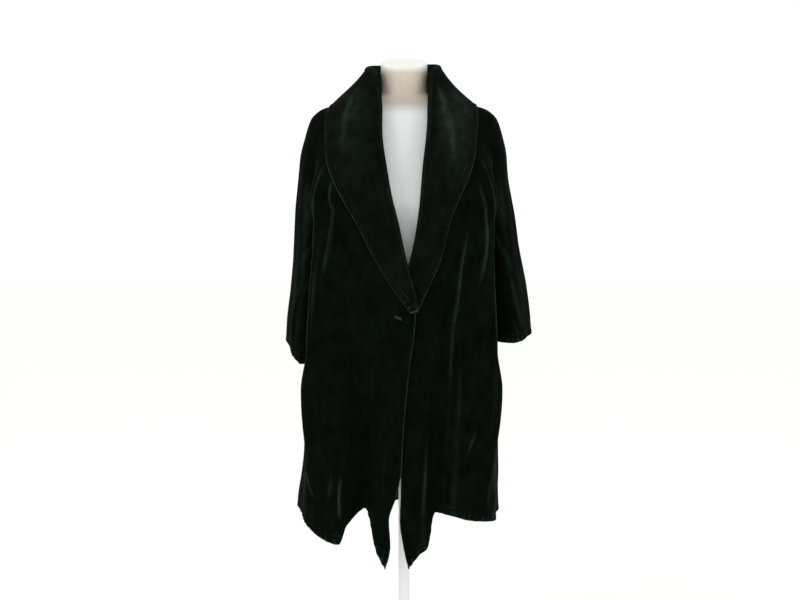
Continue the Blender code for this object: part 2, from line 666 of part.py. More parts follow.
def stacked_rings(name, rings, made_of):
    """A solid from closed rings of equal length, capped at both ends."""
    count = len(rings[0])
    points = np.concatenate([np.asarray(ring) for ring in rings])
    faces = []
    for r in range(len(rings) - 1):
        for c in range(count):
            a = r * count + c
            b = r * count + (c + 1) % count
            faces.append((a, b, b + count, a + count))
    last = (len(rings) - 1) * count
    faces.append(tuple(range(count - 1, -1, -1)))
    faces.append(tuple(last + c for c in range(count)))
    return add_object(name, points, faces, made_of)


def circle(radius, z, sides):
    turn = np.linspace(0, 360, sides, endpoint=False)
    return polar(turn, radius, z)


def form_ring(level):
    bearing = np.linspace(0, 360, FORM_COLUMNS, endpoint=False)
    radius = oval_radius(FORM_RINGS, bearing, level)
    tall = np.exp(-0.5 * ((level - BUST_Z) / BUST_TALL) ** 2)
    for side in (RIGHT, LEFT):
        away = angle_between(bearing, side * BUST_BEARING)
        radius = radius + BUST_OUT * tall * np.exp(-0.5 * (away / BUST_WIDTH) ** 2)
    ring = polar(bearing, radius, level)
    slope = NECK_SLOPE * ease(NECK_SLOPE_FOOT, FORM_LEVELS[-1], level)
    ring[:, 2] += slope * ring[:, 1]
    return ring


def build_form(made_of):
    return stacked_rings("dress_form", [form_ring(level) for level in FORM_LEVELS], made_of)


def build_stand():
    """The pole under the form, the socket it stands in, and the round base."""
    pole_ends = (POLE_FOOT_Z + SEAM_GAP, FORM_LEVELS[0] - SEAM_GAP)
    pole = [circle(POLE_RADIUS, z, POLE_SIDES) for z in pole_ends]
    stacked_rings("stand_pole", pole, material("pole_white", STAND_WHITE, POLE_ROUGHNESS))
    socket = [circle(SOCKET_FOOT_RADIUS, BASE_THICK + SEAM_GAP, POLE_SIDES),
              circle(SOCKET_FOOT_RADIUS, BASE_THICK + SOCKET_FLANGE, POLE_SIDES),
              circle(SOCKET_RADIUS, BASE_THICK + SOCKET_SHOULDER, POLE_SIDES),
              circle(SOCKET_TOP_RADIUS, POLE_FOOT_Z, POLE_SIDES)]
    stacked_rings("stand_socket", socket, material("socket_white", STAND_WHITE, SOCKET_ROUGHNESS))
    base = [circle(BASE_RADIUS, 0.0, STAND_SIDES),
            circle(BASE_RADIUS, BASE_THICK - BASE_EDGE, STAND_SIDES),
            circle(BASE_RADIUS - BASE_EDGE, BASE_THICK, STAND_SIDES)]
    stacked_rings("stand_base", base, material("base_white", STAND_WHITE, BASE_ROUGHNESS))


def build_button(made_of):
    """A covered button, domed, lying on the right front."""
    z = np.array(BUTTON_Z)
    bearing = np.degrees(np.arcsin(BUTTON_X / body_radius(np.array(2.0), z)))
    step = 0.01
    here = polar(bearing, front_radius(RIGHT, bearing, z), z)
    beside = polar(bearing + 1, front_radius(RIGHT, bearing + 1, z), z)
    above = polar(bearing, front_radius(RIGHT, bearing, z + step), z + step)
    out = unit(np.cross(beside - here, above - here))
    across = unit(beside - here)
    up = np.cross(out, across)
    turn = np.linspace(0, 2 * np.pi, BUTTON_SIDES, endpoint=False)[:, None]
    rim = across * np.cos(turn) + up * np.sin(turn)
    rings = []
    start = here + out * BUTTON_LIFT
    for dome in BUTTON_DOME:
        rings.append(start + rim * (BUTTON_RADIUS * dome.width) + out * (BUTTON_THICK * dome.height))
    return stacked_rings("button", rings, made_of)


def build():
    for left_over in list(bpy.data.objects):
        bpy.data.objects.remove(left_over)
    cloth_panel("front_right", front_grid(RIGHT), flip=True)
    cloth_panel("front_left", front_grid(LEFT))
    cloth_panel("back", back_grid(), flip=True)
    cloth_panel("sleeve_right", sleeve_grid(RIGHT), flip=True)
    cloth_panel("sleeve_left", sleeve_grid(LEFT))
    cloth_panel("collar_right", collar_grid(RIGHT), centred=True)
    cloth_panel("collar_left", collar_grid(LEFT), centred=True)
    build_button(material("button_velvet", BUTTON_VELVET, BUTTON_ROUGHNESS))
    build_form(material("form_white", FORM_WHITE, FORM_ROUGHNESS))
    build_stand()


build()
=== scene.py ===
# %% [markdown]
# # A velvet opera coat on a dress form
#
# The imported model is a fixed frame: every sewn piece is already there as a plain wall of cloth, at its
# real size and place. This lesson puts the looks on it. Each panel of velvet becomes a fine shell on
# the same form, with creases, puckered hems and stitching, and the form and its stand get smooth
# surfaces and real finishes. Nothing is moved or resized.

# %% Load the frame
import math
from collections import namedtuple

import bpy
import numpy as np
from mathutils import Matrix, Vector


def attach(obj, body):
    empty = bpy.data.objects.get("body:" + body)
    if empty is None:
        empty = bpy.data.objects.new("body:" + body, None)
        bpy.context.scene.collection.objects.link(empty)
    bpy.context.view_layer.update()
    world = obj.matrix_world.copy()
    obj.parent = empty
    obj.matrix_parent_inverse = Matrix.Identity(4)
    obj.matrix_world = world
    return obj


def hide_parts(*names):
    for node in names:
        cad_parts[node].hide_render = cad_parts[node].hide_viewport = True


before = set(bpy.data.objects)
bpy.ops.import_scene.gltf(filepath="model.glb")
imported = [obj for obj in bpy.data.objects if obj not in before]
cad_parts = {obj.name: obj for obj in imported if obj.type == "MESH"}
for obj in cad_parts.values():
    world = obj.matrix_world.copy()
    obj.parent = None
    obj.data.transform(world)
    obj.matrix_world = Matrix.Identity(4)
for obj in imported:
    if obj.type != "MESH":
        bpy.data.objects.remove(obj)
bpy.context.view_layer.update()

MM = 0.001
BODY = "root"
print("nodes in the frame:", ", ".join(sorted(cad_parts)))

# %% [markdown]
# ## The cut of the coat
#
# The coat hangs round an upright axis, so a place on it is a bearing (0 at the front, +90 at the
# wearer's left, 180 at the back) and a height. Short tables say how wide it is, where its folds hang,
# where its front edges fall and how the hem rises and drops. They are the tables that the solids were
# made from, because a shell that stands for a solid has to lie where the solid is.

# %% Levels, sides and rings of the body
RIGHT = -1
LEFT = 1
NECK_Z = 1.430
UNDERARM_Z = 1.140
HEM_LEVEL = 0.480
CLOTH = 2.4 * MM
SEAM_GAP = 0.3 * MM

Ring = namedtuple("Ring", "height half_width front back squareness")
BODY_RINGS = [
    Ring(1.430, 0.070, 0.064, 0.068, 2.0),
    Ring(1.417, 0.108, 0.074, 0.086, 2.1),
    Ring(1.405, 0.152, 0.084, 0.100, 2.2),
    Ring(1.393, 0.186, 0.093, 0.110, 2.3),
    Ring(1.372, 0.207, 0.106, 0.122, 2.4),
    Ring(1.328, 0.221, 0.128, 0.136, 2.4),
    Ring(1.270, 0.234, 0.148, 0.146, 2.4),
    Ring(1.200, 0.202, 0.162, 0.152, 2.4),
    Ring(1.140, 0.168, 0.168, 0.156, 2.4),
    Ring(1.060, 0.164, 0.173, 0.160, 2.3),
    Ring(0.980, 0.163, 0.177, 0.164, 2.3),
    Ring(0.870, 0.168, 0.183, 0.172, 2.2),
    Ring(0.790, 0.198, 0.188, 0.180, 2.2),
    Ring(0.680, 0.222, 0.195, 0.190, 2.1),
    Ring(0.400, 0.232, 0.210, 0.212, 2.1),
]
print("body rings:", len(BODY_RINGS))

# %% Hanging folds
Fold = namedtuple("Fold", "top full foot bearing_top bearing_full bearing_foot"
                          " out_full out_foot inner outer")
FOLDS = [
    # wearer's right front
    Fold(1.400, 1.120, 0.400, -54, -53, -58, 0.062, 0.018, 13, 8),
    Fold(1.120, 0.860, 0.600, -53, -54, -56, 0.030, 0.000, 12, 8),
    Fold(1.260, 1.080, 0.940, -41, -46, -51, 0.014, 0.000, 5, 5),
    Fold(0.980, 0.640, 0.400, -31, -28, -25, -0.026, -0.040, 5, 4.5),
    Fold(0.900, 0.560, 0.400, -37, -37, -36, 0.014, 0.022, 5, 10),
    Fold(0.900, 0.560, 0.400, -15, -15, -15, 0.008, 0.012, 6, 5),
    Fold(0.640, 0.510, 0.400, -84, -84, -84, 0.014, 0.022, 14, 16),
    # wearer's left front
    Fold(1.400, 1.120, 0.400, 54, 53, 54, 0.060, 0.006, 11, 8),
    Fold(1.120, 0.840, 0.560, 53, 53, 54, 0.026, 0.000, 10, 8),
    Fold(1.300, 1.110, 0.900, 46, 46, 43, 0.016, 0.000, 4, 4),
    Fold(1.200, 0.940, 0.400, 45, 31, 24, 0.024, 0.020, 4, 7),
    Fold(1.000, 0.700, 0.400, 27, 22, 19, -0.022, -0.030, 4, 4),
    Fold(0.800, 0.600, 0.400, 13, 13, 11, 0.006, 0.010, 5, 5),
    Fold(0.860, 0.600, 0.400, 88, 88, 88, -0.014, -0.024, 22, 20),
    Fold(1.140, 1.020, 0.930, 31, 22, 12, 0.010, 0.000, 5, 5),
    # back
    Fold(1.300, 1.060, 0.400, -131, -130, -120, 0.030, 0.028, 9, 9),
    Fold(1.000, 0.640, 0.400, -134, -133, -132, -0.016, -0.030, 7, 7),
    Fold(1.200, 0.700, 0.400, -148, -147, -145, 0.026, 0.040, 8, 8),
    Fold(1.100, 0.640, 0.400, -164, -165, -165, -0.018, -0.030, 8, 8),
    Fold(1.200, 0.640, 0.400, 180, 180, 178, 0.020, 0.032, 9, 9),
    Fold(1.100, 0.640, 0.400, 163, 163, 162, -0.018, -0.032, 8, 8),
    Fold(1.200, 0.700, 0.400, 145, 146, 147, 0.026, 0.040, 8, 8),
    Fold(1.000, 0.640, 0.400, 133, 132, 131, -0.016, -0.030, 7, 7),
    Fold(1.300, 1.060, 0.400, 131, 130, 118, 0.030, 0.030, 9, 9),
]
print("hanging folds:", len(FOLDS))

# %% Front edges, lap and hems
Edge = namedtuple("Edge", "height right left")
FRONT_EDGES = [
    Edge(1.430, -0.0545, 0.0545),
    Edge(1.389, -0.060, 0.064),
    Edge(1.346, -0.059, 0.060),
    Edge(1.304, -0.054, 0.054),
    Edge(1.261, -0.046, 0.048),
    Edge(1.197, -0.035, 0.043),
    Edge(1.154, -0.022, 0.038),
    Edge(1.110, -0.013, 0.032),
    Edge(1.046, 0.002, 0.015),
    Edge(0.962, 0.024, -0.022),
    Edge(0.913, 0.021, -0.026),
    Edge(0.849, 0.012, -0.026),
    Edge(0.774, 0.004, -0.022),
    Edge(0.689, -0.003, -0.014),
    Edge(0.624, -0.006, -0.006),
    Edge(0.565, -0.018, -0.007),
    Edge(0.515, -0.033, -0.009),
    Edge(0.461, -0.030, -0.002),
    Edge(0.400, -0.043, 0.011),
]
LAP_DEEP = 12.5 * MM
LAP_FLAT = 6.5 * MM
LAP_TOP_Z = 1.060

Hem = namedtuple("Hem", "share height")
RIGHT_HEM = [
    Hem(0.000, 0.412),
    Hem(0.050, 0.430),
    Hem(0.100, 0.452),
    Hem(0.165, 0.494),
    Hem(0.220, 0.533),
    Hem(0.285, 0.500),
    Hem(0.320, 0.460),
    Hem(0.470, 0.470),
    Hem(0.580, 0.486),
    Hem(0.800, 0.508),
    Hem(1.000, 0.500),
]
LEFT_HEM = [
    Hem(0.000, 0.410),
    Hem(0.068, 0.435),
    Hem(0.095, 0.444),
    Hem(0.150, 0.453),
    Hem(0.195, 0.483),
    Hem(0.235, 0.528),
    Hem(0.300, 0.524),
    Hem(0.420, 0.508),
    Hem(0.600, 0.494),
    Hem(0.800, 0.480),
    Hem(1.000, 0.474),
]
BACK_HEM = [
    Hem(0.00, 0.500),
    Hem(0.25, 0.474),
    Hem(0.50, 0.464),
    Hem(0.75, 0.466),
    Hem(1.00, 0.474),
]
print("hem rows:", len(RIGHT_HEM) + len(LEFT_HEM) + len(BACK_HEM))

# %% [markdown]
# ## Reading the tables
#
# A table gives a size at a few heights only. A monotone cubic runs through its rows without
# overshooting, so a ring never bulges past the sizes that were measured. The folds are soft bumps
# added to the plain oval: each starts at one height, is full at another and may fade or deepen
# towards the hem.

# %% Smooth curves through tables
TINY = 1e-12


def smooth(rows, column, at):
    """Read a table's column at any value of its first column: a monotone cubic through the rows."""
    key = np.array([row[0] for row in rows], float)
    value = np.array([getattr(row, column) for row in rows], float)
    order = np.argsort(key)
    key = key[order]
    value = value[order]
    step = np.diff(key)
    slope = np.diff(value) / step
    tangent = np.zeros_like(value)
    same_way = slope[:-1] * slope[1:] > 0
    mean = 2 * slope[:-1] * slope[1:] / np.where(same_way, slope[:-1] + slope[1:], 1)
    tangent[1:-1] = np.where(same_way, mean, 0)
    tangent[0] = slope[0]
    tangent[-1] = slope[-1]
    at = np.clip(np.asarray(at, float), key[0], key[-1])
    i = np.clip(np.searchsorted(key, at) - 1, 0, len(step) - 1)
    t = (at - key[i]) / step[i]
    rise = value[i] + (value[i + 1] - value[i]) * t * t * (3 - 2 * t)
    return rise + step[i] * t * (1 - t) * (tangent[i] * (1 - t) - tangent[i + 1] * t)


def ease(start, end, at):
    """A soft step from 0 at start to 1 at end."""
    t = np.clip((np.asarray(at, float) - start) / (end - start), 0, 1)
    return t * t * (3 - 2 * t)


def unit(vectors):
    return vectors / np.maximum(np.linalg.norm(vectors, axis=-1, keepdims=True), TINY)


def angle_between(bearing, other):
    """Signed difference of two bearings, within half a turn."""
    return (np.asarray(bearing, float) - other + 180) % 360 - 180


def polar(bearing, radius, z):
    """Point at a bearing and radius from the pole's axis."""
    turn = np.radians(bearing)
    return np.stack(np.broadcast_arrays(radius * np.sin(turn), -radius * np.cos(turn), z), axis=-1)


def bearing_of(point):
    return np.degrees(np.arctan2(point[..., 0], -point[..., 1]))


def radius_of(point):
    return np.hypot(point[..., 0], point[..., 1])


half_way = smooth(BODY_RINGS, "half_width", (NECK_Z + HEM_LEVEL) / 2)
print("half way up, the body is", round(2 * float(half_way), 3), "m wide")

# %% The body's surface
EDGE_ROUNDS = 12
STEEPEST_SINE = 0.95


def oval_radius(rings, bearing, z):
    """Radius of the plain oval at a bearing and height."""
    turn = np.radians(bearing)
    across = np.abs(np.sin(turn))
    along = np.abs(np.cos(turn))
    depth = np.where(np.cos(turn) > 0, smooth(rings, "front", z), smooth(rings, "back", z))
    power = smooth(rings, "squareness", z)
    return ((across / smooth(rings, "half_width", z)) ** power + (along / depth) ** power) ** (-1 / power)


def fold_out(fold, bearing, z):
    """How far one hanging fold moves the cloth out at a bearing and height."""
    rise = np.clip((fold.top - z) / (fold.top - fold.full), 0, 1)
    fall = np.clip((fold.full - z) / (fold.full - fold.foot), 0, 1)
    middle = (fold.bearing_top + (fold.bearing_full - fold.bearing_top) * rise
              + (fold.bearing_foot - fold.bearing_full) * fall)
    out = fold.out_full * ease(0, 1, rise) + (fold.out_foot - fold.out_full) * ease(0, 1, fall)
    away = angle_between(bearing, middle)
    width = np.where(away * np.sign(fold.bearing_full) > 0, fold.outer, fold.inner)
    return out * np.exp(-0.5 * (away / width) ** 2)


def body_radius(bearing, z):
    """Radius of the coat's body with its folds."""
    radius = oval_radius(BODY_RINGS, bearing, z)
    for fold in FOLDS:
        radius = radius + fold_out(fold, bearing, z)
    return radius


def edge_bearing(side, z):
    """Bearing of a front panel's free edge at a height."""
    across = smooth(FRONT_EDGES, "right" if side == RIGHT else "left", z)
    bearing = np.zeros_like(across)
    for _ in range(EDGE_ROUNDS):
        sine = np.clip(across / body_radius(bearing, z), -STEEPEST_SINE, STEEPEST_SINE)
        bearing = np.degrees(np.arcsin(sine))
    return bearing


print("the deepest fold stands out", round(max(fold.out_full for fold in FOLDS) / MM, 1), "mm")

# %% [markdown]
# ## Sleeves
#
# A raglan sleeve runs up to the neck, so its top follows the body's oval and its lower part is a tube
# of its own. The two are blended between the shoulder and the underarm. The fronts and the back end
# where the sleeve begins.

# %% Sleeve tables and surface
Sleeve = namedtuple("Sleeve", "height centre_right half_right centre_left half_left centre_y half_y opening")
SLEEVE_RINGS = [
    Sleeve(1.430, 0.1800, 0.0600, 0.1800, 0.0600, 0.014, 0.096, 90),
    Sleeve(1.300, 0.1760, 0.0560, 0.1720, 0.0500, 0.014, 0.100, 86),
    Sleeve(1.250, 0.1940, 0.0440, 0.1910, 0.0410, 0.015, 0.099, 70),
    Sleeve(1.200, 0.2040, 0.0380, 0.2040, 0.0380, 0.016, 0.098, 46),
    Sleeve(1.160, 0.2060, 0.0385, 0.2080, 0.0405, 0.016, 0.098, 16),
    Sleeve(1.140, 0.2065, 0.0390, 0.2095, 0.0420, 0.016, 0.098, 0.02),
    Sleeve(1.083, 0.2095, 0.0385, 0.2150, 0.0440, 0.016, 0.098, 0.02),
    Sleeve(0.993, 0.2160, 0.0400, 0.2265, 0.0485, 0.016, 0.100, 0.02),
    Sleeve(0.925, 0.2230, 0.0410, 0.2355, 0.0495, 0.014, 0.102, 0.02),
    Sleeve(0.830, 0.2280, 0.0400, 0.2435, 0.0495, 0.012, 0.104, 0.02),
]
SLEEVE_SQUARENESS = 2.1
RAGLAN_FRONT = 58
RAGLAN_SWING = 10
RAGLAN_SWING_TOP = 1.380
RAGLAN_SWING_FOOT = 1.270
RAGLAN_BACK = 124
SLEEVE_JOIN_TOP = 1.350
SLEEVE_JOIN_FOOT = 1.160
SLEEVE_RING_FOOT = 1.270
Cuff = namedtuple("Cuff", "outer drop")
CUFFS = {RIGHT: Cuff(0.880, 0.042), LEFT: Cuff(0.896, 0.012)}
SleeveFold = namedtuple("SleeveFold", "angle out_top out_cuff half_width")
SLEEVE_FOLDS = [
    SleeveFold(105, 0.002, 0.006, 16),
    SleeveFold(140, -0.002, -0.005, 14),
    SleeveFold(215, 0.001, 0.006, 18),
    SleeveFold(262, -0.001, -0.006, 16),
]


def sleeve_point(side, share, z):
    """Point of a sleeve at a share of the way round from its front seam to its back seam."""
    share, z = np.broadcast_arrays(np.asarray(share, float), np.asarray(z, float))
    front_seam = RAGLAN_FRONT + RAGLAN_SWING * ease(RAGLAN_SWING_TOP, RAGLAN_SWING_FOOT, z)
    ring_bearing = side * (front_seam + (RAGLAN_BACK - front_seam) * share)
    ring = polar(ring_bearing, oval_radius(BODY_RINGS, ring_bearing, np.maximum(z, SLEEVE_RING_FOOT)), z)
    opening = smooth(SLEEVE_RINGS, "opening", z)
    angle = opening + (360 - 2 * opening) * share
    turn = np.radians(angle)
    name = "right" if side == RIGHT else "left"
    half_x = smooth(SLEEVE_RINGS, "half_" + name, z)
    half_y = smooth(SLEEVE_RINGS, "half_y", z)
    down = np.clip((SLEEVE_JOIN_FOOT - z) / (SLEEVE_JOIN_FOOT - CUFFS[side].outer), 0, 1)
    out = np.zeros_like(z)
    for fold in SLEEVE_FOLDS:
        amount = fold.out_top + (fold.out_cuff - fold.out_top) * down
        out = out + amount * np.exp(-0.5 * (angle_between(angle, fold.angle) / fold.half_width) ** 2)
    power = 2 / SLEEVE_SQUARENESS
    cosine = np.sign(np.cos(turn)) * np.abs(np.cos(turn)) ** power
    sine = np.sign(np.sin(turn)) * np.abs(np.sin(turn)) ** power
    x = side * (smooth(SLEEVE_RINGS, "centre_" + name, z) - (half_x + out) * cosine)
    y = smooth(SLEEVE_RINGS, "centre_y", z) - (half_y + out) * sine
    tube = np.stack([x, y, z], axis=-1)
    join = ease(SLEEVE_JOIN_TOP, SLEEVE_JOIN_FOOT, z)[..., None]
    return ring + (tube - ring) * join


def cuff_height(side, share):
    """Height of the cuff: it drops from the outer side to the front and stays down round to the underarm."""
    turn = 2 * np.pi * np.asarray(share)
    cosine = np.cos(turn)
    front = np.where(cosine < 0, 1 - np.abs(cosine), 1)
    back = np.where(cosine > 0, cosine ** 2, 0)
    return CUFFS[side].outer - CUFFS[side].drop * np.where(np.sin(turn) >= 0, front, back)


print("cuffs hang at", CUFFS[RIGHT].outer, "and", CUFFS[LEFT].outer, "m")

# %% Fronts and back, drawn to their seams
# gaps at the seams, and how the underarm is set in
SEAM_BESIDE = 1.4 * SEAM_GAP
SEAM_UNDER = 1.5 * SEAM_GAP
SIDE_BLEND = 0.10
UNDERARM_INSET = 2.0 * MM
INSET_TOP = 1.250
INSET_FULL = 1.180
# bearings, in degrees, over which the panels are drawn to a seam and the lap fades
SEAM_REACH = 18
LAP_FULL = 8
LAP_END = 28
# heights of the lap
LAP_EDGE_TOP = 0.99
LAP_RISE = 0.14
LAP_FLAT_Z = 0.86
LAP_DEEP_Z = 0.94
# where the panels turn a corner: its bearing, and its share of the columns
FRONT_CORNER = 56
FRONT_CORNER_MOST = 0.78
FRONT_CORNER_COLUMN = 0.70
BACK_CORNER = 130
BACK_CORNER_COLUMN = 0.20


def seam_end(side, share, z):
    """Bearing and radius at which a front (share 0) or back (share 1) meets the sleeve or the side seam."""
    point = sleeve_point(side, share, np.maximum(z, UNDERARM_Z))
    underarm = float(abs(bearing_of(sleeve_point(side, 0.0, UNDERARM_Z))))
    bearing = np.where(z >= UNDERARM_Z, np.abs(bearing_of(point)), underarm)
    side_radius = body_radius(side * bearing, z)
    radius = side_radius + (radius_of(point) - side_radius) * ease(UNDERARM_Z - SIDE_BLEND, UNDERARM_Z, z)
    gap = np.degrees(SEAM_BESIDE / radius)
    radius = radius - SEAM_UNDER - UNDERARM_INSET * ease(INSET_TOP, INSET_FULL, z)
    bearing = bearing - gap if share == 0 else bearing + gap
    return side * bearing, radius


def lap_in(side, bearing, z):
    """How far the left front is pressed in where the right front laps over it."""
    if side == RIGHT:
        return np.zeros(np.broadcast(bearing, z).shape)
    near = 1 - ease(LAP_FULL, LAP_END, bearing - edge_bearing(RIGHT, np.minimum(z, LAP_EDGE_TOP)))
    depth = LAP_FLAT + (LAP_DEEP - LAP_FLAT) * ease(LAP_FLAT_Z, LAP_DEEP_Z, z)
    return depth * near * ease(LAP_TOP_Z + LAP_RISE, LAP_TOP_Z, z)


def front_radius(side, bearing, z):
    """Radius of a front panel, drawn to its seam at the side."""
    end_bearing, end_radius = seam_end(side, 0, z)
    radius = body_radius(bearing, z)
    miss = end_radius - body_radius(end_bearing, z)
    near = ease(SEAM_REACH, 0, np.abs(end_bearing) - side * np.asarray(bearing))
    return radius + miss * near - lap_in(side, bearing, z)


def front_bearing(side, column, z):
    """Bearing of a front panel's column: kept up to the corner, and past it swinging with the seam."""
    start = edge_bearing(side, z)
    end, _ = seam_end(side, 0, z)
    corner = side * np.minimum(FRONT_CORNER, side * (start + FRONT_CORNER_MOST * (end - start)))
    near = np.clip(column / FRONT_CORNER_COLUMN, 0, 1)
    far = np.clip((column - FRONT_CORNER_COLUMN) / (1 - FRONT_CORNER_COLUMN), 0, 1)
    return start + (corner - start) * near + (end - corner) * far


def back_bearing_radius(column, z):
    """Bearing and radius of the back, from the wearer's right side seam to the left one."""
    right_end, right_radius = seam_end(RIGHT, 1, z)
    left_end, left_radius = seam_end(LEFT, 1, z)
    right_end = -right_end
    left_end = 360 - left_end
    first = np.clip(column / BACK_CORNER_COLUMN, 0, 1)
    last = np.clip((column - 1 + BACK_CORNER_COLUMN) / BACK_CORNER_COLUMN, 0, 1)
    middle = np.clip((column - BACK_CORNER_COLUMN) / (1 - 2 * BACK_CORNER_COLUMN), 0, 1)
    bearing = right_end + (BACK_CORNER - right_end) * first + (360 - 2 * BACK_CORNER) * middle
    bearing = bearing + (left_end - 360 + BACK_CORNER) * last
    radius = body_radius(-bearing, z)
    right_miss = right_radius - body_radius(-right_end, z)
    left_miss = left_radius - body_radius(-left_end, z)
    radius = radius + right_miss * ease(SEAM_REACH, 0, bearing - right_end)
    radius = radius + left_miss * ease(SEAM_REACH, 0, left_end - bearing)
    return -bearing, radius


print("side seam at", round(float(seam_end(LEFT, 0, np.array(0.8))[0]), 1), "degrees")

# %% [markdown]
# ## Creases placed one by one
#
# Velvet shows its creases as thin pale lines, because the pile stands side-on to the eye along each
# ridge. A noise texture would spread them evenly, which cloth never does, so each crease here is a
# row of a table: where it starts and ends, how far it bows to one side, how far it stands out and how
# wide it is. The fronts follow the photograph. The back can't be seen and the sleeves are too dark to
# read, so theirs are guesses of the same kind.

# %% Crease tables
Crease = namedtuple("Crease", "bearing_top top bearing_foot foot bow out_mm width_mm")
FRONT_CREASES = [
    # wearer's right: drags from the collar's edge, then the hem's short folds
    Crease(-41.5, 1.232, -47.5, 1.000, 2.6, 5.0, 4.6),
    Crease(-44.0, 1.246, -42.0, 1.176, -0.6, 3.0, 3.2),
    Crease(-50.2, 1.295, -55.4, 0.790, -1.2, 3.0, 3.4),
    Crease(-47.5, 1.070, -52.0, 0.900, -1.2, 3.0, 6.0),
    Crease(-34.5, 0.730, -34.0, 0.630, 0.5, 3.2, 4.0),
    Crease(-35.6, 0.610, -33.2, 0.485, -1.6, 6.5, 4.4),
    Crease(-41.0, 0.620, -43.5, 0.540, 0.8, 2.6, 5.5),
    Crease(-61.5, 0.622, -52.0, 0.548, 1.0, 4.6, 4.2),
    Crease(-50.0, 0.800, -47.0, 0.660, -1.0, -2.6, 7.0),
    Crease(-22.0, 0.860, -20.5, 0.640, 0.8, 2.2, 7.0),
    Crease(-10.5, 0.700, -12.5, 0.520, -0.8, 2.6, 5.0),
    # a soft pull to the button and a dimple under it
    Crease(-4.0, 0.930, -23.0, 0.868, -2.0, 1.6, 11.0),
    Crease(-11.5, 0.884, -3.6, 0.868, -3.2, -1.6, 4.0),
    # wearer's left: the long folds' ridges
    Crease(50.0, 1.305, 54.2, 0.790, 0.8, 2.8, 3.4),
    Crease(43.6, 1.262, 41.2, 1.000, 2.6, 4.6, 4.2),
    Crease(42.8, 1.190, 30.0, 0.935, -1.2, 5.0, 4.0),
    Crease(30.9, 0.995, 22.4, 0.520, -0.5, 3.5, 3.6),
    Crease(28.2, 1.120, 9.6, 0.955, -0.8, 5.0, 4.0),
    Crease(16.8, 0.800, 10.6, 0.520, 0.8, 4.0, 5.4),
    Crease(42.5, 0.716, 35.5, 0.640, 0.4, 2.8, 4.2),
    Crease(64.5, 0.560, 59.0, 0.495, 0.6, 4.6, 4.2),
    Crease(51.0, 0.860, 48.5, 0.640, -0.8, 2.4, 6.5),
    Crease(36.0, 0.860, 33.0, 0.700, 0.8, -2.4, 6.0),
    Crease(18.5, 0.905, 22.5, 0.780, 0.6, 2.0, 5.0),
    Crease(57.0, 0.640, 52.5, 0.520, -1.0, 3.0, 5.0),
    # round the sides
    Crease(-72.0, 0.860, -75.5, 0.640, 1.2, 3.4, 7.5),
    Crease(-84.0, 0.760, -80.0, 0.560, -1.0, 3.0, 7.0),
    Crease(74.0, 0.900, 77.5, 0.680, -1.0, 3.6, 7.5),
    Crease(82.0, 0.720, 79.0, 0.530, 1.4, 2.8, 6.5),
]
BACK_CREASES = [
    Crease(-127.5, 1.260, -139.0, 1.010, 1.8, 4.4, 5.6),
    Crease(129.0, 1.240, 141.5, 0.965, -2.2, 4.8, 6.0),
    Crease(-136.0, 1.190, -147.0, 1.060, -1.0, 2.6, 5.0),
    Crease(-151.0, 1.070, -157.0, 0.720, 1.0, 3.8, 7.5),
    Crease(155.0, 1.020, 150.0, 0.655, 1.4, 4.0, 7.0),
    Crease(171.0, 1.120, 168.5, 0.800, -0.8, 3.0, 7.0),
    Crease(-172.0, 0.880, -166.0, 0.560, 0.9, 3.4, 6.0),
    Crease(-119.0, 0.760, -126.0, 0.540, 1.2, 4.2, 6.0),
    Crease(117.0, 0.740, 125.0, 0.520, -1.4, 4.4, 5.5),
    Crease(-140.0, 0.680, -137.0, 0.520, 0.6, 3.0, 5.0),
    Crease(139.0, 0.720, 143.5, 0.530, -0.8, 3.4, 5.5),
    Crease(177.0, 0.740, -178.0, 0.550, 0.8, 3.0, 6.0),
    Crease(-159.0, 0.620, -156.0, 0.500, -0.6, 3.6, 4.6),
    Crease(160.0, 0.600, 157.0, 0.500, 0.5, 3.0, 4.6),
]
# on a sleeve, a bearing is the angle round it from its front seam
SLEEVE_CREASES = {
    RIGHT: [
        Crease(28, 1.180, 120, 1.050, -6, 1.8, 9.0),
        Crease(20, 1.120, 92, 0.990, 5, 1.5, 8.5),
        Crease(146, 1.260, 168, 1.060, -5, 1.6, 10.0),
        Crease(110, 1.020, 128, 0.880, 4, 2.4, 8.0),
        Crease(76, 0.980, 64, 0.860, -4, 1.8, 7.0),
        Crease(330, 1.190, 246, 1.040, 7, 2.6, 9.0),
        Crease(338, 1.090, 270, 0.950, -5, 2.2, 8.0),
        Crease(196, 1.080, 206, 0.890, 5, 2.0, 9.0),
    ],
    LEFT: [
        Crease(26, 1.190, 112, 1.040, 6, 1.7, 9.0),
        Crease(18, 1.090, 84, 0.985, -4, 1.4, 8.0),
        Crease(140, 1.240, 158, 1.020, 5, 2.2, 9.0),
        Crease(104, 1.030, 118, 0.905, -4, 2.4, 7.5),
        Crease(172, 1.100, 164, 0.915, 5, 2.4, 9.0),
        Crease(332, 1.170, 252, 1.060, -7, 2.4, 8.5),
        Crease(336, 1.060, 262, 0.930, 6, 2.4, 9.0),
        Crease(214, 1.020, 224, 0.900, -5, 2.0, 8.5),
    ],
}
print("creases:", len(FRONT_CREASES) + len(BACK_CREASES) + sum(map(len, SLEEVE_CREASES.values())))

# %% How a crease lifts the cloth
# metres of cloth in one degree
BODY_ARC = 3.1 * MM
SLEEVE_ARC = 1.17 * MM
# how bluntly a crease ends, and how far the cloth beside it dips
CREASE_TAPER = 0.8
CREASE_DIP = 0.2


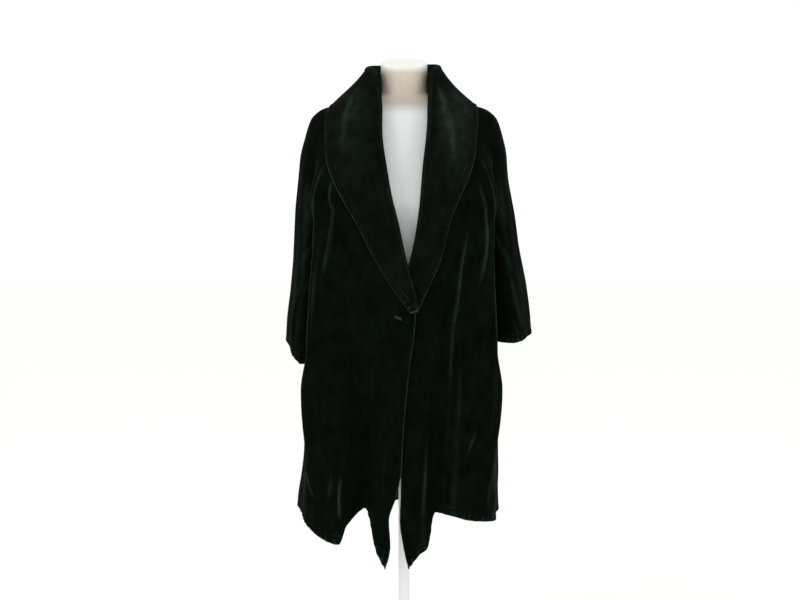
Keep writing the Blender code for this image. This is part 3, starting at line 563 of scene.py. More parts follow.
def crease_lift(crease, x, y, run, bow=0.0, taper=1.0, dip=0.0):
    """How far one crease lifts the cloth, x and y metres from its top. run is its own way in x and y."""
    length = np.linalg.norm(run)
    way = run / length
    inside = np.clip((x * way[0] + y * way[1]) / length, 0, 1)
    across = (x * way[1] - y * way[0] + bow * 4 * inside * (1 - inside)) / (crease.width_mm * MM)
    high = crease.out_mm * MM * np.sin(np.pi * inside) ** taper
    return high * np.exp(-0.5 * across ** 2) * (1 - dip * across ** 2)


def crease_out(creases, bearing, z, arc):
    """How far the creases move the cloth, at bearings that are each so many metres of cloth long."""
    total = np.zeros(np.broadcast(bearing, z).shape)
    for crease in creases:
        run = np.array([angle_between(crease.bearing_foot, crease.bearing_top) * arc,
                        crease.foot - crease.top])
        x = angle_between(bearing, crease.bearing_top) * arc
        lift = crease_lift(crease, x, z - crease.top, run, crease.bow * arc, CREASE_TAPER, CREASE_DIP)
        total = total + lift
    return total


print("deepest crease:", max(abs(c.out_mm) for c in FRONT_CREASES + BACK_CREASES), "mm")

# %% [markdown]
# ## Fine grids
#
# A panel is a grid of points: rows run across, columns run down. Rows are close together at the
# shoulder, where the cloth turns fast, and in the last two centimetres above a hem, where the stitching
# draws it into small puckers.

# %% Rows and columns of the panels
UPPER_LEVELS = [1.430, 1.416, 1.402, 1.384, 1.352, 1.306, 1.250, 1.195, 1.140]
CHEST_LEVELS = [1.050, 0.962]
ROW_STEP = 4.5 * MM
LEAST_ROWS = 6
EDGE_BAND = 20 * MM
EDGE_ROWS = 13
SKIRT_ROWS = 105
LOWER_SLEEVE_ROWS = 60
FRONT_COLUMNS = 132
BACK_COLUMNS = 168
SLEEVE_COLUMNS = 130
SLEEVE_SEAM_FADE = 0.4


def finer(levels):
    """Levels with more between them, one every few millimetres."""
    made = [levels[0]]
    for upper, lower in zip(levels, levels[1:]):
        count = max(LEAST_ROWS, math.ceil((upper - lower) / ROW_STEP))
        made += list(np.linspace(upper, lower, count + 1)[1:])
    return np.array(made)


def panel_heights(levels, hem, rows):
    """Heights of a panel's rows by column: shared levels, then shares, then the band above the hem."""
    upper = np.repeat(levels[:, None], len(hem), axis=1)
    band_top = hem + EDGE_BAND
    down = np.linspace(0, 1, rows + 1)[1:, None]
    middle = levels[-1] + (band_top[None, :] - levels[-1]) * down
    low = np.linspace(0, 1, EDGE_ROWS + 1)[1:, None]
    band = band_top[None, :] - EDGE_BAND * low
    return np.concatenate([upper, middle, band], axis=0)


def grid_normals(grid, flip):
    """The way out of each point of a grid; flip turns it over."""
    normal = unit(np.cross(np.gradient(grid, axis=0), np.gradient(grid, axis=1)))
    return -normal if flip else normal


def front_grid(side):
    column = np.linspace(0, 1, FRONT_COLUMNS + 1)
    level = np.full_like(column, HEM_LEVEL)
    bearing = front_bearing(side, column, level)
    share = (bearing - bearing[0]) / (bearing[-1] - bearing[0])
    hem = smooth(RIGHT_HEM if side == RIGHT else LEFT_HEM, "height", share)
    z = panel_heights(finer(UPPER_LEVELS + CHEST_LEVELS), hem, SKIRT_ROWS)
    bearing = front_bearing(side, np.broadcast_to(column, z.shape), z)
    radius = front_radius(side, bearing, z) + crease_out(FRONT_CREASES, bearing, z, BODY_ARC)
    return polar(bearing, radius, z)


def back_grid():
    column = np.linspace(0, 1, BACK_COLUMNS + 1)
    z = panel_heights(finer(UPPER_LEVELS + CHEST_LEVELS), smooth(BACK_HEM, "height", column), SKIRT_ROWS)
    bearing, radius = back_bearing_radius(np.broadcast_to(column, z.shape), z)
    return polar(bearing, radius + crease_out(BACK_CREASES, bearing, z, BODY_ARC), z)


def sleeve_grid(side):
    share = np.linspace(0, 1, SLEEVE_COLUMNS + 1)
    z = panel_heights(finer(UPPER_LEVELS), cuff_height(side, share), LOWER_SLEEVE_ROWS)
    share = np.broadcast_to(share, z.shape)
    grid = sleeve_point(side, share, z)
    away = grid_normals(grid, side == RIGHT)
    clear = np.sin(np.pi * share) ** SLEEVE_SEAM_FADE
    return grid + away * (crease_out(SLEEVE_CREASES[side], 360 * share, z, SLEEVE_ARC) * clear)[..., None]


GRIDS = {
    "front_right": front_grid(RIGHT),
    "front_left": front_grid(LEFT),
    "back": back_grid(),
    "sleeve_right": sleeve_grid(RIGHT),
    "sleeve_left": sleeve_grid(LEFT),
}
for name, grid in GRIDS.items():
    print(name, "grid of", grid.shape[0], "by", grid.shape[1], "points")

# %% [markdown]
# ## The shawl collar
#
# The collar is sewn to the neck and to the front edges, stands up a little, rolls over and falls to
# its outer edge. A table of stations runs from the button up to the centre back and says, at each,
# how high the collar stands, how tight its roll is and where its edge lies. Each row of the grid goes
# from the seam round the roll, as a half circle, and down the fall.

# %% Collar stations
Station = namedtuple("Station", "seam_z seam_bearing stand roll turn edge_bearing edge_z lift puff")
COLLAR_RIGHT = [
    Station(0.962, 0, 0.000, 0.0030, 0.0, 4.5, 0.957, 0.0060, 0.000),
    Station(1.040, 0, 0.000, 0.0040, 0.0, -6.5, 1.004, 0.0045, 0.002),
    Station(1.120, 0, 0.000, 0.0050, 0.0, -21.5, 1.078, 0.0045, 0.004),
    Station(1.200, 0, 0.000, 0.0055, 0.0, -32.5, 1.160, 0.0060, 0.005),
    Station(1.290, 0, 0.000, 0.0060, 0.0, -45.0, 1.250, 0.0060, 0.006),
    Station(1.365, 0, 0.002, 0.0065, 0.1, -62.0, 1.345, 0.0060, 0.006),
    Station(1.430, 0, 0.020, 0.0080, 1.0, -76.0, 1.401, 0.0075, 0.005),
    Station(1.430, 84, 0.042, 0.0095, 1.0, -97.0, 1.404, 0.0080, 0.005),
    Station(1.430, 116, 0.048, 0.0105, 1.0, -122.0, 1.374, 0.0080, 0.008),
    Station(1.430, 150, 0.050, 0.0110, 1.0, -151.0, 1.336, 0.0060, 0.010),
    Station(1.430, 179.85, 0.051, 0.0110, 1.0, -179.85, 1.322, 0.0060, 0.010),
]
COLLAR_LEFT = [
    Station(0.990, 0, 0.000, 0.0025, 0.0, 9.0, 0.957, 0.0060, 0.000),
    Station(1.040, 0, 0.000, 0.0035, 0.0, 17.0, 1.012, 0.0045, 0.001),
    Station(1.120, 0, 0.000, 0.0050, 0.0, 26.0, 1.078, 0.0045, 0.004),
    Station(1.200, 0, 0.000, 0.0055, 0.0, 31.5, 1.160, 0.0065, 0.005),
    Station(1.290, 0, 0.000, 0.0060, 0.0, 42.0, 1.252, 0.0060, 0.006),
    Station(1.365, 0, 0.002, 0.0065, 0.1, 57.0, 1.345, 0.0060, 0.006),
    Station(1.430, 0, 0.020, 0.0070, 1.0, 75.0, 1.402, 0.0075, 0.002),
    Station(1.430, 84, 0.048, 0.0070, 1.0, 97.0, 1.405, 0.0080, 0.000),
    Station(1.430, 116, 0.053, 0.0085, 1.0, 122.0, 1.374, 0.0080, 0.004),
    Station(1.430, 150, 0.053, 0.0105, 1.0, 151.0, 1.336, 0.0060, 0.010),
    Station(1.430, 179.85, 0.051, 0.0110, 1.0, 179.85, 1.322, 0.0060, 0.010),
]
PlacedStation = namedtuple("PlacedStation", ("place",) + Station._fields)
NECK_LEAN = 1.0 * MM
COLLAR_ROWS = 224
ROLL_COLUMNS = 12
FALL_COLUMNS = 40
FALL_EDGE_COLUMNS = 14
FALL_EDGE_SHARE = 0.16
FALL_SHARES = np.concatenate([np.linspace(0, 1 - FALL_EDGE_SHARE, FALL_COLUMNS + 1)[1:],
                              np.linspace(1 - FALL_EDGE_SHARE, 1, FALL_EDGE_COLUMNS + 1)[1:]])
SOFT_ROWS = 6
CollarCrease = namedtuple("CollarCrease", "place_top share_top place_foot share_foot out_mm width_mm")
PLACE_LENGTH = 70 * MM
FALL_LENGTH = 105 * MM
# the rows thirty millimetres wide are broad, low swells whose painted streaks lay a broad painted highlight
# on the collar's upper part
COLLAR_CREASES = {
    RIGHT: [
        CollarCrease(6.7, 0.30, 4.3, 0.70, 2.8, 4.2),
        CollarCrease(6.1, 0.20, 4.9, 0.52, 1.2, 8.0),
        CollarCrease(6.6, 0.45, 3.4, 0.55, 0.7, 30.0),
        CollarCrease(3.6, 0.30, 2.0, 0.55, -2.0, 9.0),
        CollarCrease(8.4, 0.30, 7.4, 0.90, 3.0, 8.0),
        CollarCrease(9.5, 0.45, 9.1, 0.95, -2.2, 9.0),
    ],
    LEFT: [
        CollarCrease(6.2, 0.02, 4.0, 0.55, 4.2, 5.0),
        CollarCrease(6.6, 0.42, 5.0, 0.78, 1.4, 9.0),
        CollarCrease(6.6, 0.40, 3.4, 0.55, 1.4, 30.0),
        CollarCrease(4.2, 0.25, 2.4, 0.52, -2.0, 8.0),
        CollarCrease(8.6, 0.35, 7.8, 0.92, 3.0, 8.0),
        CollarCrease(9.4, 0.40, 9.7, 0.92, 2.2, 9.0),
    ],
}
print("collar stations:", len(COLLAR_RIGHT), "a side")

# %% Collar surface
# bearings up to which a front, and from which a sleeve's top, lies under the collar
OVER_FRONT = 70
OVER_SLEEVE = 55
STAND_IN = 30.0
# how far from a front's edge its directions are read
PROBE_COLUMN = 4
PROBE_STEP = 4 * MM
# gap at the collar's seam, wider at the neck
COLLAR_GAP = 0.8 * MM
NECK_GAP = 1.8 * MM
NECK_GAP_FOOT = 1.340
NECK_GAP_TOP = 1.400
JOIN_SHARE = 0.2
FALL_BOW = 0.35
CREASE_START = 0.12


def upper_radius(side, bearing, z):
    """Radius of whatever cloth lies under the collar: a front, the sleeve's top or the back."""
    in_front = np.abs(bearing) < OVER_FRONT
    front = front_radius(side, np.where(in_front, bearing, side * STAND_IN), z)
    ring = oval_radius(BODY_RINGS, bearing, z)
    return np.where(in_front, np.maximum(front, np.where(np.abs(bearing) > OVER_SLEEVE, ring, 0)), ring)


def along_column(grid, column, z):
    """Points on one column of a panel's grid at given heights."""
    line = grid[::-1, column]
    return np.stack([np.interp(z, line[:, 2], line[:, 0]), np.interp(z, line[:, 2], line[:, 1]), z], axis=-1)


def edge_frame(side, z):
    """A front's free edge at given heights, the way across the panel from it and the way out of it."""
    grid = GRIDS["front_right" if side == RIGHT else "front_left"]
    edge = along_column(grid, 0, z)
    across = along_column(grid, PROBE_COLUMN, z) - edge
    low = np.clip(z - PROBE_STEP, None, NECK_Z - 2 * PROBE_STEP)
    along = unit(along_column(grid, 0, low + 2 * PROBE_STEP) - along_column(grid, 0, low))
    facing = unit(-side * np.cross(along, across))
    return edge, unit(-side * np.cross(facing, along)), facing


def collar_crease_out(side, place, share):
    """How far the collar's soft creases lift it, at a place along it and a share of the fall."""
    total = np.zeros(np.broadcast(place, share).shape)
    for crease in COLLAR_CREASES[side]:
        run = np.array([(crease.place_foot - crease.place_top) * PLACE_LENGTH,
                        (crease.share_foot - crease.share_top) * FALL_LENGTH])
        x = (place - crease.place_top) * PLACE_LENGTH
        y = (share - crease.share_top) * FALL_LENGTH
        total = total + crease_lift(crease, x, y, run)
    return total


def collar_grid(side):
    """Collar half: rows along the seam, columns from the seam over the roll to the edge."""
    stations = COLLAR_RIGHT if side == RIGHT else COLLAR_LEFT
    placed = [PlacedStation(place, *row) for place, row in enumerate(stations)]
    place = np.linspace(0, len(stations) - 1, COLLAR_ROWS + 1)
    seam_z = smooth(placed, "seam_z", place)
    neck_share = smooth(placed, "turn", place)
    on_edge, sideways, facing = edge_frame(side, seam_z)
    on_neck = side * smooth(placed, "seam_bearing", place)
    last_edge = max(i for i, row in enumerate(stations) if row.seam_bearing == 0)
    join = ease(last_edge, last_edge + 1, place)
    seam_bearing = bearing_of(on_edge) + (on_neck - bearing_of(on_edge)) * join
    ring_radius = upper_radius(side, seam_bearing, seam_z)
    seam_radius = radius_of(on_edge) + (ring_radius - radius_of(on_edge)) * ease(0, JOIN_SHARE, join)
    radial = polar(seam_bearing, 1.0, 0.0)
    down = np.broadcast_to(np.array([0.0, 0.0, -1.0]), radial.shape)
    back_along = unit(sideways + (down - sideways) * neck_share[:, None])
    outward = unit(facing + (radial - facing) * neck_share[:, None])
    stand = smooth(placed, "stand", place)[:, None]
    roll = smooth(placed, "roll", place)[:, None]
    seam = polar(seam_bearing, seam_radius, seam_z) - outward * (CLOTH / 2)
    gap = COLLAR_GAP + NECK_GAP * ease(NECK_GAP_FOOT, NECK_GAP_TOP, seam_z)[:, None]
    fold_line = seam - back_along * (stand + gap + CLOTH) + outward * NECK_LEAN * neck_share[:, None]
    columns = [seam - back_along * gap]
    for angle in np.linspace(0, np.pi, ROLL_COLUMNS + 1):
        columns.append(fold_line - back_along * roll * np.sin(angle) + outward * roll * (1 - np.cos(angle)))
    top = columns[-1]
    edge_at = smooth(placed, "edge_bearing", place)
    edge_z = smooth(placed, "edge_z", place)
    lift = smooth(placed, "lift", place)
    puff = smooth(placed, "puff", place)
    edge = polar(edge_at, upper_radius(side, edge_at, edge_z) + lift, edge_z)
    reach = np.linalg.norm(edge - top, axis=-1)[:, None]
    for t in FALL_SHARES:
        bow = back_along * reach * FALL_BOW * t * (1 - t) ** 2
        point = top + (edge - top) * t + bow + outward * (puff[:, None] * np.sin(np.pi * t))
        bearing = bearing_of(point)
        least = upper_radius(side, bearing, np.minimum(point[:, 2], NECK_Z)) + lift
        radius = np.maximum(radius_of(point), np.where(point[:, 2] < NECK_Z, least, 0))
        radius = radius + collar_crease_out(side, place, t) * ease(0, CREASE_START, t)
        columns.append(polar(bearing, radius, point[:, 2]))
    return np.stack(columns, axis=1)


def softened(grid, reach):
    """A grid with each column of points averaged along it, its two ends kept in place."""
    count = 3 * reach
    weight = np.exp(-0.5 * (np.arange(-count, count + 1) / reach) ** 2)
    before = 2 * grid[:1] - grid[count:0:-1]
    after = 2 * grid[-1:] - grid[-2:-count - 2:-1]
    long = np.concatenate([before, grid, after])
    made = np.zeros_like(grid)
    for i, share in enumerate(weight / weight.sum()):
        made = made + share * long[i:i + len(grid)]
    return made


for side, name in ((RIGHT, "collar_right"), (LEFT, "collar_left")):
    middle = softened(collar_grid(side), SOFT_ROWS)
    GRIDS[name] = middle + grid_normals(middle, side == LEFT) * (CLOTH / 2)
print("collar grid of", GRIDS["collar_left"].shape[0], "by", GRIDS["collar_left"].shape[1], "points")

# %% [markdown]
# ## Colours and nodes
#
# Colours are written as sRGB hex values, the way a colour picker shows them, and one function turns
# them into the linear values that a shader wants. A second small function adds a node, sets it up and
# links it, and a third starts a material from the settings that are the same all over it, so that each
# material below reads as a short recipe.

# %% Helpers for materials
def linear(code):
    """An sRGB hex colour as linear RGBA."""
    parts = [int(code[i:i + 2], 16) / 255 for i in (1, 3, 5)]
    return (*[p / 12.92 if p <= 0.04045 else ((p + 0.055) / 1.055) ** 2.4 for p in parts], 1.0)


def add(tree, kind, inputs=None, **settings):
    """Add a node, set its own settings, then set or link its inputs by name or number."""
    made = tree.nodes.new(kind)
    for name, value in settings.items():
        setattr(made, name, value)
    for key, value in (inputs or {}).items():
        if isinstance(value, bpy.types.NodeSocket):
            tree.links.new(value, made.inputs[key])
        else:
            made.inputs[key].default_value = value
    return made


def plain_finish(name, settings):
    """A material whose shader has these settings all over."""
    made = bpy.data.materials.new(name)
    made.use_nodes = True
    shader = made.node_tree.nodes["Principled BSDF"]
    for key, value in settings.items():
        shader.inputs[key].default_value = value
    return made


def per_metre(size_mm):
    """The texture scale whose features are about this many millimetres across."""
    return 1000 / size_mm


print("black pile in linear light:", [round(v, 4) for v in linear("#070d07")[:3]])

# %% [markdown]
# ## Velvet
#
# Cotton velvet is a woven ground with a short cut pile. Seen square on, the eye looks between the
# threads of the pile and finds it almost black. Along a ridge the threads are seen from the side and
# it turns pale. The sheen of the Principled shader does a part of this. The rest is painted: each shell
# carries a stored value, worked out from how sharply the cloth bends and raised along free edges, and
# the material is painted paler where it is high. That pale colour is partly the pile fanning out on a
# sharp ridge and partly a painted highlight standing in for the velvet's sheen. The pile is crushed
# here and there, so broad soft patches lean another way: a bump and a slight change of black. Its
# threads are far too fine to show, so the grain is drawn coarser, at two millimetres.

# %% Velvet and its reverse
PILE_MM = 2.0
CRUSH_MM = 46
BRUSH_MM = 15
BRUSH_DOWN = 0.45
TWILL_MM = 2.4
# a wave texture of scale 1 has about this many stripes a metre
WAVE_STRIPES = 3


def velvet(name, dark, light, ridge_sheen_colour, sheen_tint):
    """Short black pile: near black face on, pale where it is seen along its side, and painted paler on sharp
    ridges and free edges as a highlight.
    """
    made = plain_finish(name, {"Roughness": 0.95, "Specular IOR Level": 0.02, "Sheen Weight": 0.35,
                               "Sheen Roughness": 0.22, "Sheen Tint": linear(sheen_tint)})
    tree = made.node_tree
    place = add(tree, "ShaderNodeTexCoord").outputs["Object"]
    brushed = add(tree, "ShaderNodeMapping", {"Vector": place, "Scale": (1.0, 1.0, BRUSH_DOWN)})
    crush = add(tree, "ShaderNodeTexNoise", {"Vector": place, "Scale": per_metre(CRUSH_MM), "Detail": 3.0})
    brush = add(tree, "ShaderNodeTexNoise",
                {"Vector": brushed.outputs[0], "Scale": per_metre(BRUSH_MM), "Detail": 3.0})
    pile = add(tree, "ShaderNodeTexNoise", {"Vector": place, "Scale": per_metre(PILE_MM), "Detail": 1.0})
    patch = add(tree, "ShaderNodeMath", {0: crush.outputs["Fac"], 1: brush.outputs["Fac"]},
                operation="MULTIPLY")
    lean = add(tree, "ShaderNodeMapRange", {"Value": patch.outputs[0], "From Min": 0.12, "From Max": 0.42})
    flat = add(tree, "ShaderNodeMix", {"Factor": lean.outputs[0], 6: linear(dark), 7: linear(light)},
               data_type="RGBA")
    # painted highlight: where the shell's stored ridge value is high, the colour is painted towards the
    # ridge colour, broken up by the brushed noise
    pile_sheen_layer = add(tree, "ShaderNodeAttribute", attribute_name="nap")
    broken = add(tree, "ShaderNodeMapRange",
                 {"Value": brush.outputs["Fac"], "From Min": 0.25, "From Max": 0.65, "To Min": 0.35})
    pale = add(tree, "ShaderNodeMath", {0: pile_sheen_layer.outputs["Fac"], 1: broken.outputs[0]},
               operation="MULTIPLY", use_clamp=True)
    colour = add(tree, "ShaderNodeMix", {"Factor": pale.outputs[0], 6: flat.outputs[2], 7: linear(ridge_sheen_colour)},
                 data_type="RGBA")
    soft = add(tree, "ShaderNodeBump", {"Height": patch.outputs[0], "Strength": 0.3, "Distance": 3.0 * MM})
    grain = add(tree, "ShaderNodeBump", {"Height": pile.outputs["Fac"], "Strength": 0.25,
                                         "Distance": 0.5 * MM, "Normal": soft.outputs[0]})
    shader = tree.nodes["Principled BSDF"]
    tree.links.new(colour.outputs[2], shader.inputs["Base Color"])
    tree.links.new(grain.outputs[0], shader.inputs["Normal"])
    return made


def woven_reverse(name):
    """The flat woven back of the velvet: a dull black cotton twill."""
    made = plain_finish(name, {"Roughness": 0.88, "Specular IOR Level": 0.2})
    tree = made.node_tree
    place = add(tree, "ShaderNodeTexCoord").outputs["Object"]
    slope = add(tree, "ShaderNodeMapping", {"Vector": place, "Rotation": (0.0, math.radians(45), 0.0)})
    twill = add(tree, "ShaderNodeTexWave",
                {"Vector": slope.outputs[0], "Scale": per_metre(TWILL_MM) / WAVE_STRIPES,
                 "Distortion": 1.2, "Detail": 1.0})
    colour = add(tree, "ShaderNodeMix", {"Factor": twill.outputs["Fac"], 6: linear("#0b0c0c"),
                                         7: linear("#131414")}, data_type="RGBA")
    rib = add(tree, "ShaderNodeBump",
              {"Height": twill.outputs["Fac"], "Strength": 0.3, "Distance": 0.3 * MM})
    shader = tree.nodes["Principled BSDF"]
    tree.links.new(colour.outputs[2], shader.inputs["Base Color"])
    tree.links.new(rib.outputs[0], shader.inputs["Normal"])
    return made


# the third colour of each velvet is the painted highlight on ridges and edges
body_velvet = velvet("black_cotton_velvet", "#030603", "#070d07", "#2f4034", "#2c3c2d")
# the collar's copy of the velvet is paler all over than the body's, with paler ridges
collar_velvet = velvet("black_cotton_velvet_brushed_up", "#050805", "#0a100a", "#435647", "#333f34")
reverse = woven_reverse("cotton_twill_ground")
print("velvets:", body_velvet.name, collar_velvet.name)

# %% [markdown]
# ## Shells of cloth
#
# Cloth has two faces and an edge. Each shell is built from its grid: the outer face, an inner face one
# thickness below, and a rim with a point row of its own half way, which rounds the edge as a turned
# hem does. At a sewn seam the inner face goes deeper and reaches a little past the edge, like a seam
# allowance, so that no light comes through between two panels.

# %% Building a shell
SEAM_DEEP = 3.6 * MM
SEAM_WIDTH = 3.0 * MM
ALLOWANCE = 0.7 * MM
HEM_THICKER = 1.0 * MM
RIM_ROUND = 0.45 * CLOTH
SEWN_RIM_ROUND = 0.2 * RIM_ROUND
# bends between which the ridge highlight is painted in, and the painted highlight along free edges
SOFT_BEND = 1 / 0.032
SHARP_BEND = 1 / 0.0036
EDGE_PAINTED_SHEEN = 0.5
SIDES = ("top", "bottom", "first", "last")


def edge_first(array, side):
    """The array turned so that the named side is its first row."""
    turned = {"top": array, "bottom": array[::-1], "first": array.swapaxes(0, 1),
              "last": array.swapaxes(0, 1)[::-1]}
    return turned[side]


def edge_distance(grid, side):
    """Distance over the cloth of each point of the grid from the named side."""
    turned = edge_first(grid, side)
    steps = np.linalg.norm(np.diff(turned, axis=0), axis=-1)
    total = np.concatenate([np.zeros((1, turned.shape[1])), np.cumsum(steps, axis=0)])
    made = np.empty(grid.shape[:2])
    edge_first(made, side)[...] = total
    return made


def rim_order(rows, columns):
    """Grid indices once round the border."""
    order = list(range(columns))
    order += [r * columns + columns - 1 for r in range(1, rows)]
    order += [(rows - 1) * columns + c for c in range(columns - 2, -1, -1)]
    order += [r * columns for r in range(rows - 2, 0, -1)]
    return np.array(order)


def ridge_pile_sheen(grid, normal):
    """How pale a ridge is painted: 0 on flat cloth and in hollows, 1 on a sharp ridge; partly the pile
    fanning out, partly a painted highlight.
    """
    bend = np.zeros(grid.shape[:2])
    for axis in (0, 1):
        step = np.gradient(grid, axis=axis)
        turn = np.gradient(step, axis=axis)
        bend = bend - (turn * normal).sum(axis=-1) / np.maximum((step ** 2).sum(axis=-1), TINY)
    return np.clip((bend - SOFT_BEND) / (SHARP_BEND - SOFT_BEND), 0, 1)


def cloth_shell(name, outer, flip, seams, inside, ridge_sheen_share, sheen_streaks):
    """A closed shell of cloth on a grid. seams names its sewn sides. Its stored pale value, partly the
    pile's own opening and partly a painted highlight, is high on its sharp bends, scaled by one argument,
    and along painted streaks given by another."""
    rows, columns = outer.shape[:2]
    normal = grid_normals(outer, flip)
    depth = np.full((rows, columns), CLOTH)
    out = np.zeros_like(outer)
    passing = np.zeros((rows, columns))
    for side in SIDES:
        way = unit(edge_first(outer, side)[0] - edge_first(outer, side)[1])
        edge_first(out, side)[0] += way
        near = np.exp(-(edge_distance(outer, side) / SEAM_WIDTH) ** 2)
        depth = depth + (SEAM_DEEP if side in seams else HEM_THICKER) * near
        if side in seams:
            edge_first(passing, side)[0] = ALLOWANCE
    out = unit(out)
    inner = outer - normal * depth[..., None] + out * passing[..., None]
    order = rim_order(rows, columns)
    bulge = np.where(passing > 0, SEWN_RIM_ROUND, RIM_ROUND)
    middle = outer - normal * (depth / 2)[..., None] + out * bulge[..., None]
    points = np.concatenate([outer.reshape(-1, 3), inner.reshape(-1, 3), middle.reshape(-1, 3)[order]])
    count = rows * columns
    corner = (np.arange(rows - 1)[:, None] * columns + np.arange(columns - 1)[None, :]).ravel()
    quad = np.stack([corner, corner + columns, corner + columns + 1, corner + 1], axis=1)
    after = np.roll(order, -1)
    ring = 2 * count + np.arange(len(order))
    ring_after = np.roll(ring, -1)
    rim_upper = np.stack([order, after, ring_after, ring], axis=1)
    rim_lower = np.stack([ring, ring_after, after + count, order + count], axis=1)
    faces = np.concatenate([quad, quad[:, ::-1] + count, rim_upper, rim_lower])
    if flip:
        faces = faces[:, ::-1]
    slots = np.zeros(len(faces), np.int32)
    slots[len(quad):2 * len(quad)] = 1
    made = mesh_object(name, points, faces, slots, inside)
    # painted highlight: the pale value is high on sharp bends and along the free edges, partly the pile's
    # own opening
    nap = np.clip(ridge_pile_sheen(outer, normal) * ridge_sheen_share + sheen_streaks, 0, 1)
    for side in SIDES:
        if side not in seams:
            edge_first(nap, side)[0] = np.maximum(edge_first(nap, side)[0], EDGE_PAINTED_SHEEN)
    stored = made.data.attributes.new("nap", "FLOAT", "POINT")
    stored.data.foreach_set("value", np.concatenate([nap.ravel(), 0 * nap.ravel(), nap.ravel()[order]]))
    return made


def mesh_object(name, points, faces, slots, finishes):
    """A smooth mesh from points and faces of equal size, with a material for each slot."""
    faces = np.asarray(faces, np.int32)
    mesh = bpy.data.meshes.new(name)
    mesh.vertices.add(len(points))
    mesh.vertices.foreach_set("co", np.asarray(points, np.float32).ravel())
    mesh.loops.add(faces.size)
    mesh.loops.foreach_set("vertex_index", faces.ravel())
    mesh.polygons.add(len(faces))
    mesh.polygons.foreach_set("loop_start", np.arange(len(faces), dtype=np.int32) * faces.shape[1])
    for finish in finishes:
        mesh.materials.append(finish)
    mesh.polygons.foreach_set("material_index", np.asarray(slots, np.int32))
    mesh.update(calc_edges=True)
    mesh.validate()
    mesh.shade_smooth()
    made = bpy.data.objects.new(name, mesh)
    bpy.context.scene.collection.objects.link(made)
    return made


print("wall", CLOTH / MM, "mm, seams", (CLOTH + SEAM_DEEP) / MM, "mm deep inside")

# %% [markdown]
# ## Puckered edges
#
# A hem in velvet is never quite flat: the stitches draw the upper layer in and the edge ripples in
# small uneven waves, with a shallow groove where the thread runs. The waves fade within a centimetre
# or two of the edge. They are moved in the mesh, so that the edge itself is wavy in outline.

# %% Ripples and stitch grooves along an edge
Finish = namedtuple("Finish", "side inset_mm groove_mm groove_width_mm ripple_mm fade_mm wave_mm")
HEM_FINISH = Finish("bottom", 13, 0.5, 2.2, 1.3, 14, 17)
CUFF_FINISH = Finish("bottom", 12, 0.5, 2.2, 1.1, 13, 15)
COLLAR_FINISH = Finish("last", 10, 0.5, 2.2, 0.6, 9, 12)
FRONT_EDGE_FINISH = Finish("first", 9, 0.3, 3.0, 0.5, 8, 21)
FADE_POWER = 1.5
# how the ripples' length drifts and their height swells, over so many waves
DRIFT = 1.7
DRIFT_WAVES = 4.4
SWELL_MEAN = 0.55
SWELL = 0.45
SWELL_WAVES = 7.1
SWELL_START = 0.6


def ripple(along, wave):
    """An uneven wave along an edge: its length and its height both drift."""
    drift = DRIFT * np.sin(2 * np.pi * along / (DRIFT_WAVES * wave))
    height = SWELL_MEAN + SWELL * np.sin(2 * np.pi * along / (SWELL_WAVES * wave) + SWELL_START)
    return np.sin(2 * np.pi * along / wave + drift) * height


def finish_edge(grid, flip, finish):
    """Move a grid's points in and out for the stitch groove and the ripples of one edge."""
    distance = edge_distance(grid, finish.side)
    line = edge_first(grid, finish.side)[0]
    along = np.concatenate([[0], np.cumsum(np.linalg.norm(np.diff(line, axis=0), axis=-1))])
    wave = np.empty(grid.shape[:2])
    edge_first(wave, finish.side)[...] = ripple(along, finish.wave_mm * MM)[None, :]
    fade = np.exp(-(distance / (finish.fade_mm * MM)) ** FADE_POWER)
    across = (distance - finish.inset_mm * MM) / (finish.groove_width_mm * MM)
    out = finish.ripple_mm * MM * wave * fade - finish.groove_mm * MM * np.exp(-0.5 * across ** 2)
    return grid + grid_normals(grid, flip) * out[..., None]


def stitch_line(grid, flip, finish, raised):
    """Points on the cloth along an edge, at the stitching's distance from it, and the way out there."""
    turned = edge_first(grid, finish.side)
    facing = edge_first(grid_normals(grid, flip), finish.side)
    distance = edge_first(edge_distance(grid, finish.side), finish.side)
    line = []
    away = []
    for c in range(turned.shape[1]):
        at = np.clip(finish.inset_mm * MM, 0, distance[-1, c])
        line.append([np.interp(at, distance[:, c], turned[:, c, k]) for k in range(3)])
        away.append([np.interp(at, distance[:, c], facing[:, c, k]) for k in range(3)])
    away = unit(np.array(away))
    return np.array(line) + away * raised, away


print("hem ripples about", HEM_FINISH.wave_mm, "mm long")

# %% [markdown]
# The collar needs one more step. Its roll bends so tightly that the painted ridge highlight would shine
# all along it, which real velvet pressed at the roll does not, so that painted highlight is held back there
# and behind the neck. Its soft creases bend too little to show, so a faint painted highlight follows each
# of them, and the widest of them paints a broad pale glow over the collar's upper part.

# %% Where the collar's highlight is painted
# how much of the painted ridge highlight the roll and the back of the neck keep, and how strong the painted
# highlight along the soft creases is
ROLL_SHEEN_KEPT = 0.12
RIDGE_COLUMNS = (3, 14)
NECK_DULL = 0.8
NECK_DULL_PLACES = (5.4, 6.4)
STREAK_SHEEN = 0.20
STREAK_FULL = 3.4 * MM
STREAK_SHARES = (0.02, 0.16)
fall = np.arange(GRIDS["collar_left"].shape[1]) - ROLL_COLUMNS
round_neck = np.linspace(0, len(COLLAR_LEFT) - 1, COLLAR_ROWS + 1)
COLLAR_RIDGE_SHEEN = (ROLL_SHEEN_KEPT + (1 - ROLL_SHEEN_KEPT) * ease(*RIDGE_COLUMNS, fall)[None, :]
                 * (1 - NECK_DULL * ease(*NECK_DULL_PLACES, round_neck))[:, None])
share_down = np.concatenate([np.zeros(ROLL_COLUMNS + 2), FALL_SHARES])[None, :]
COLLAR_SHEEN_STREAKS = {}
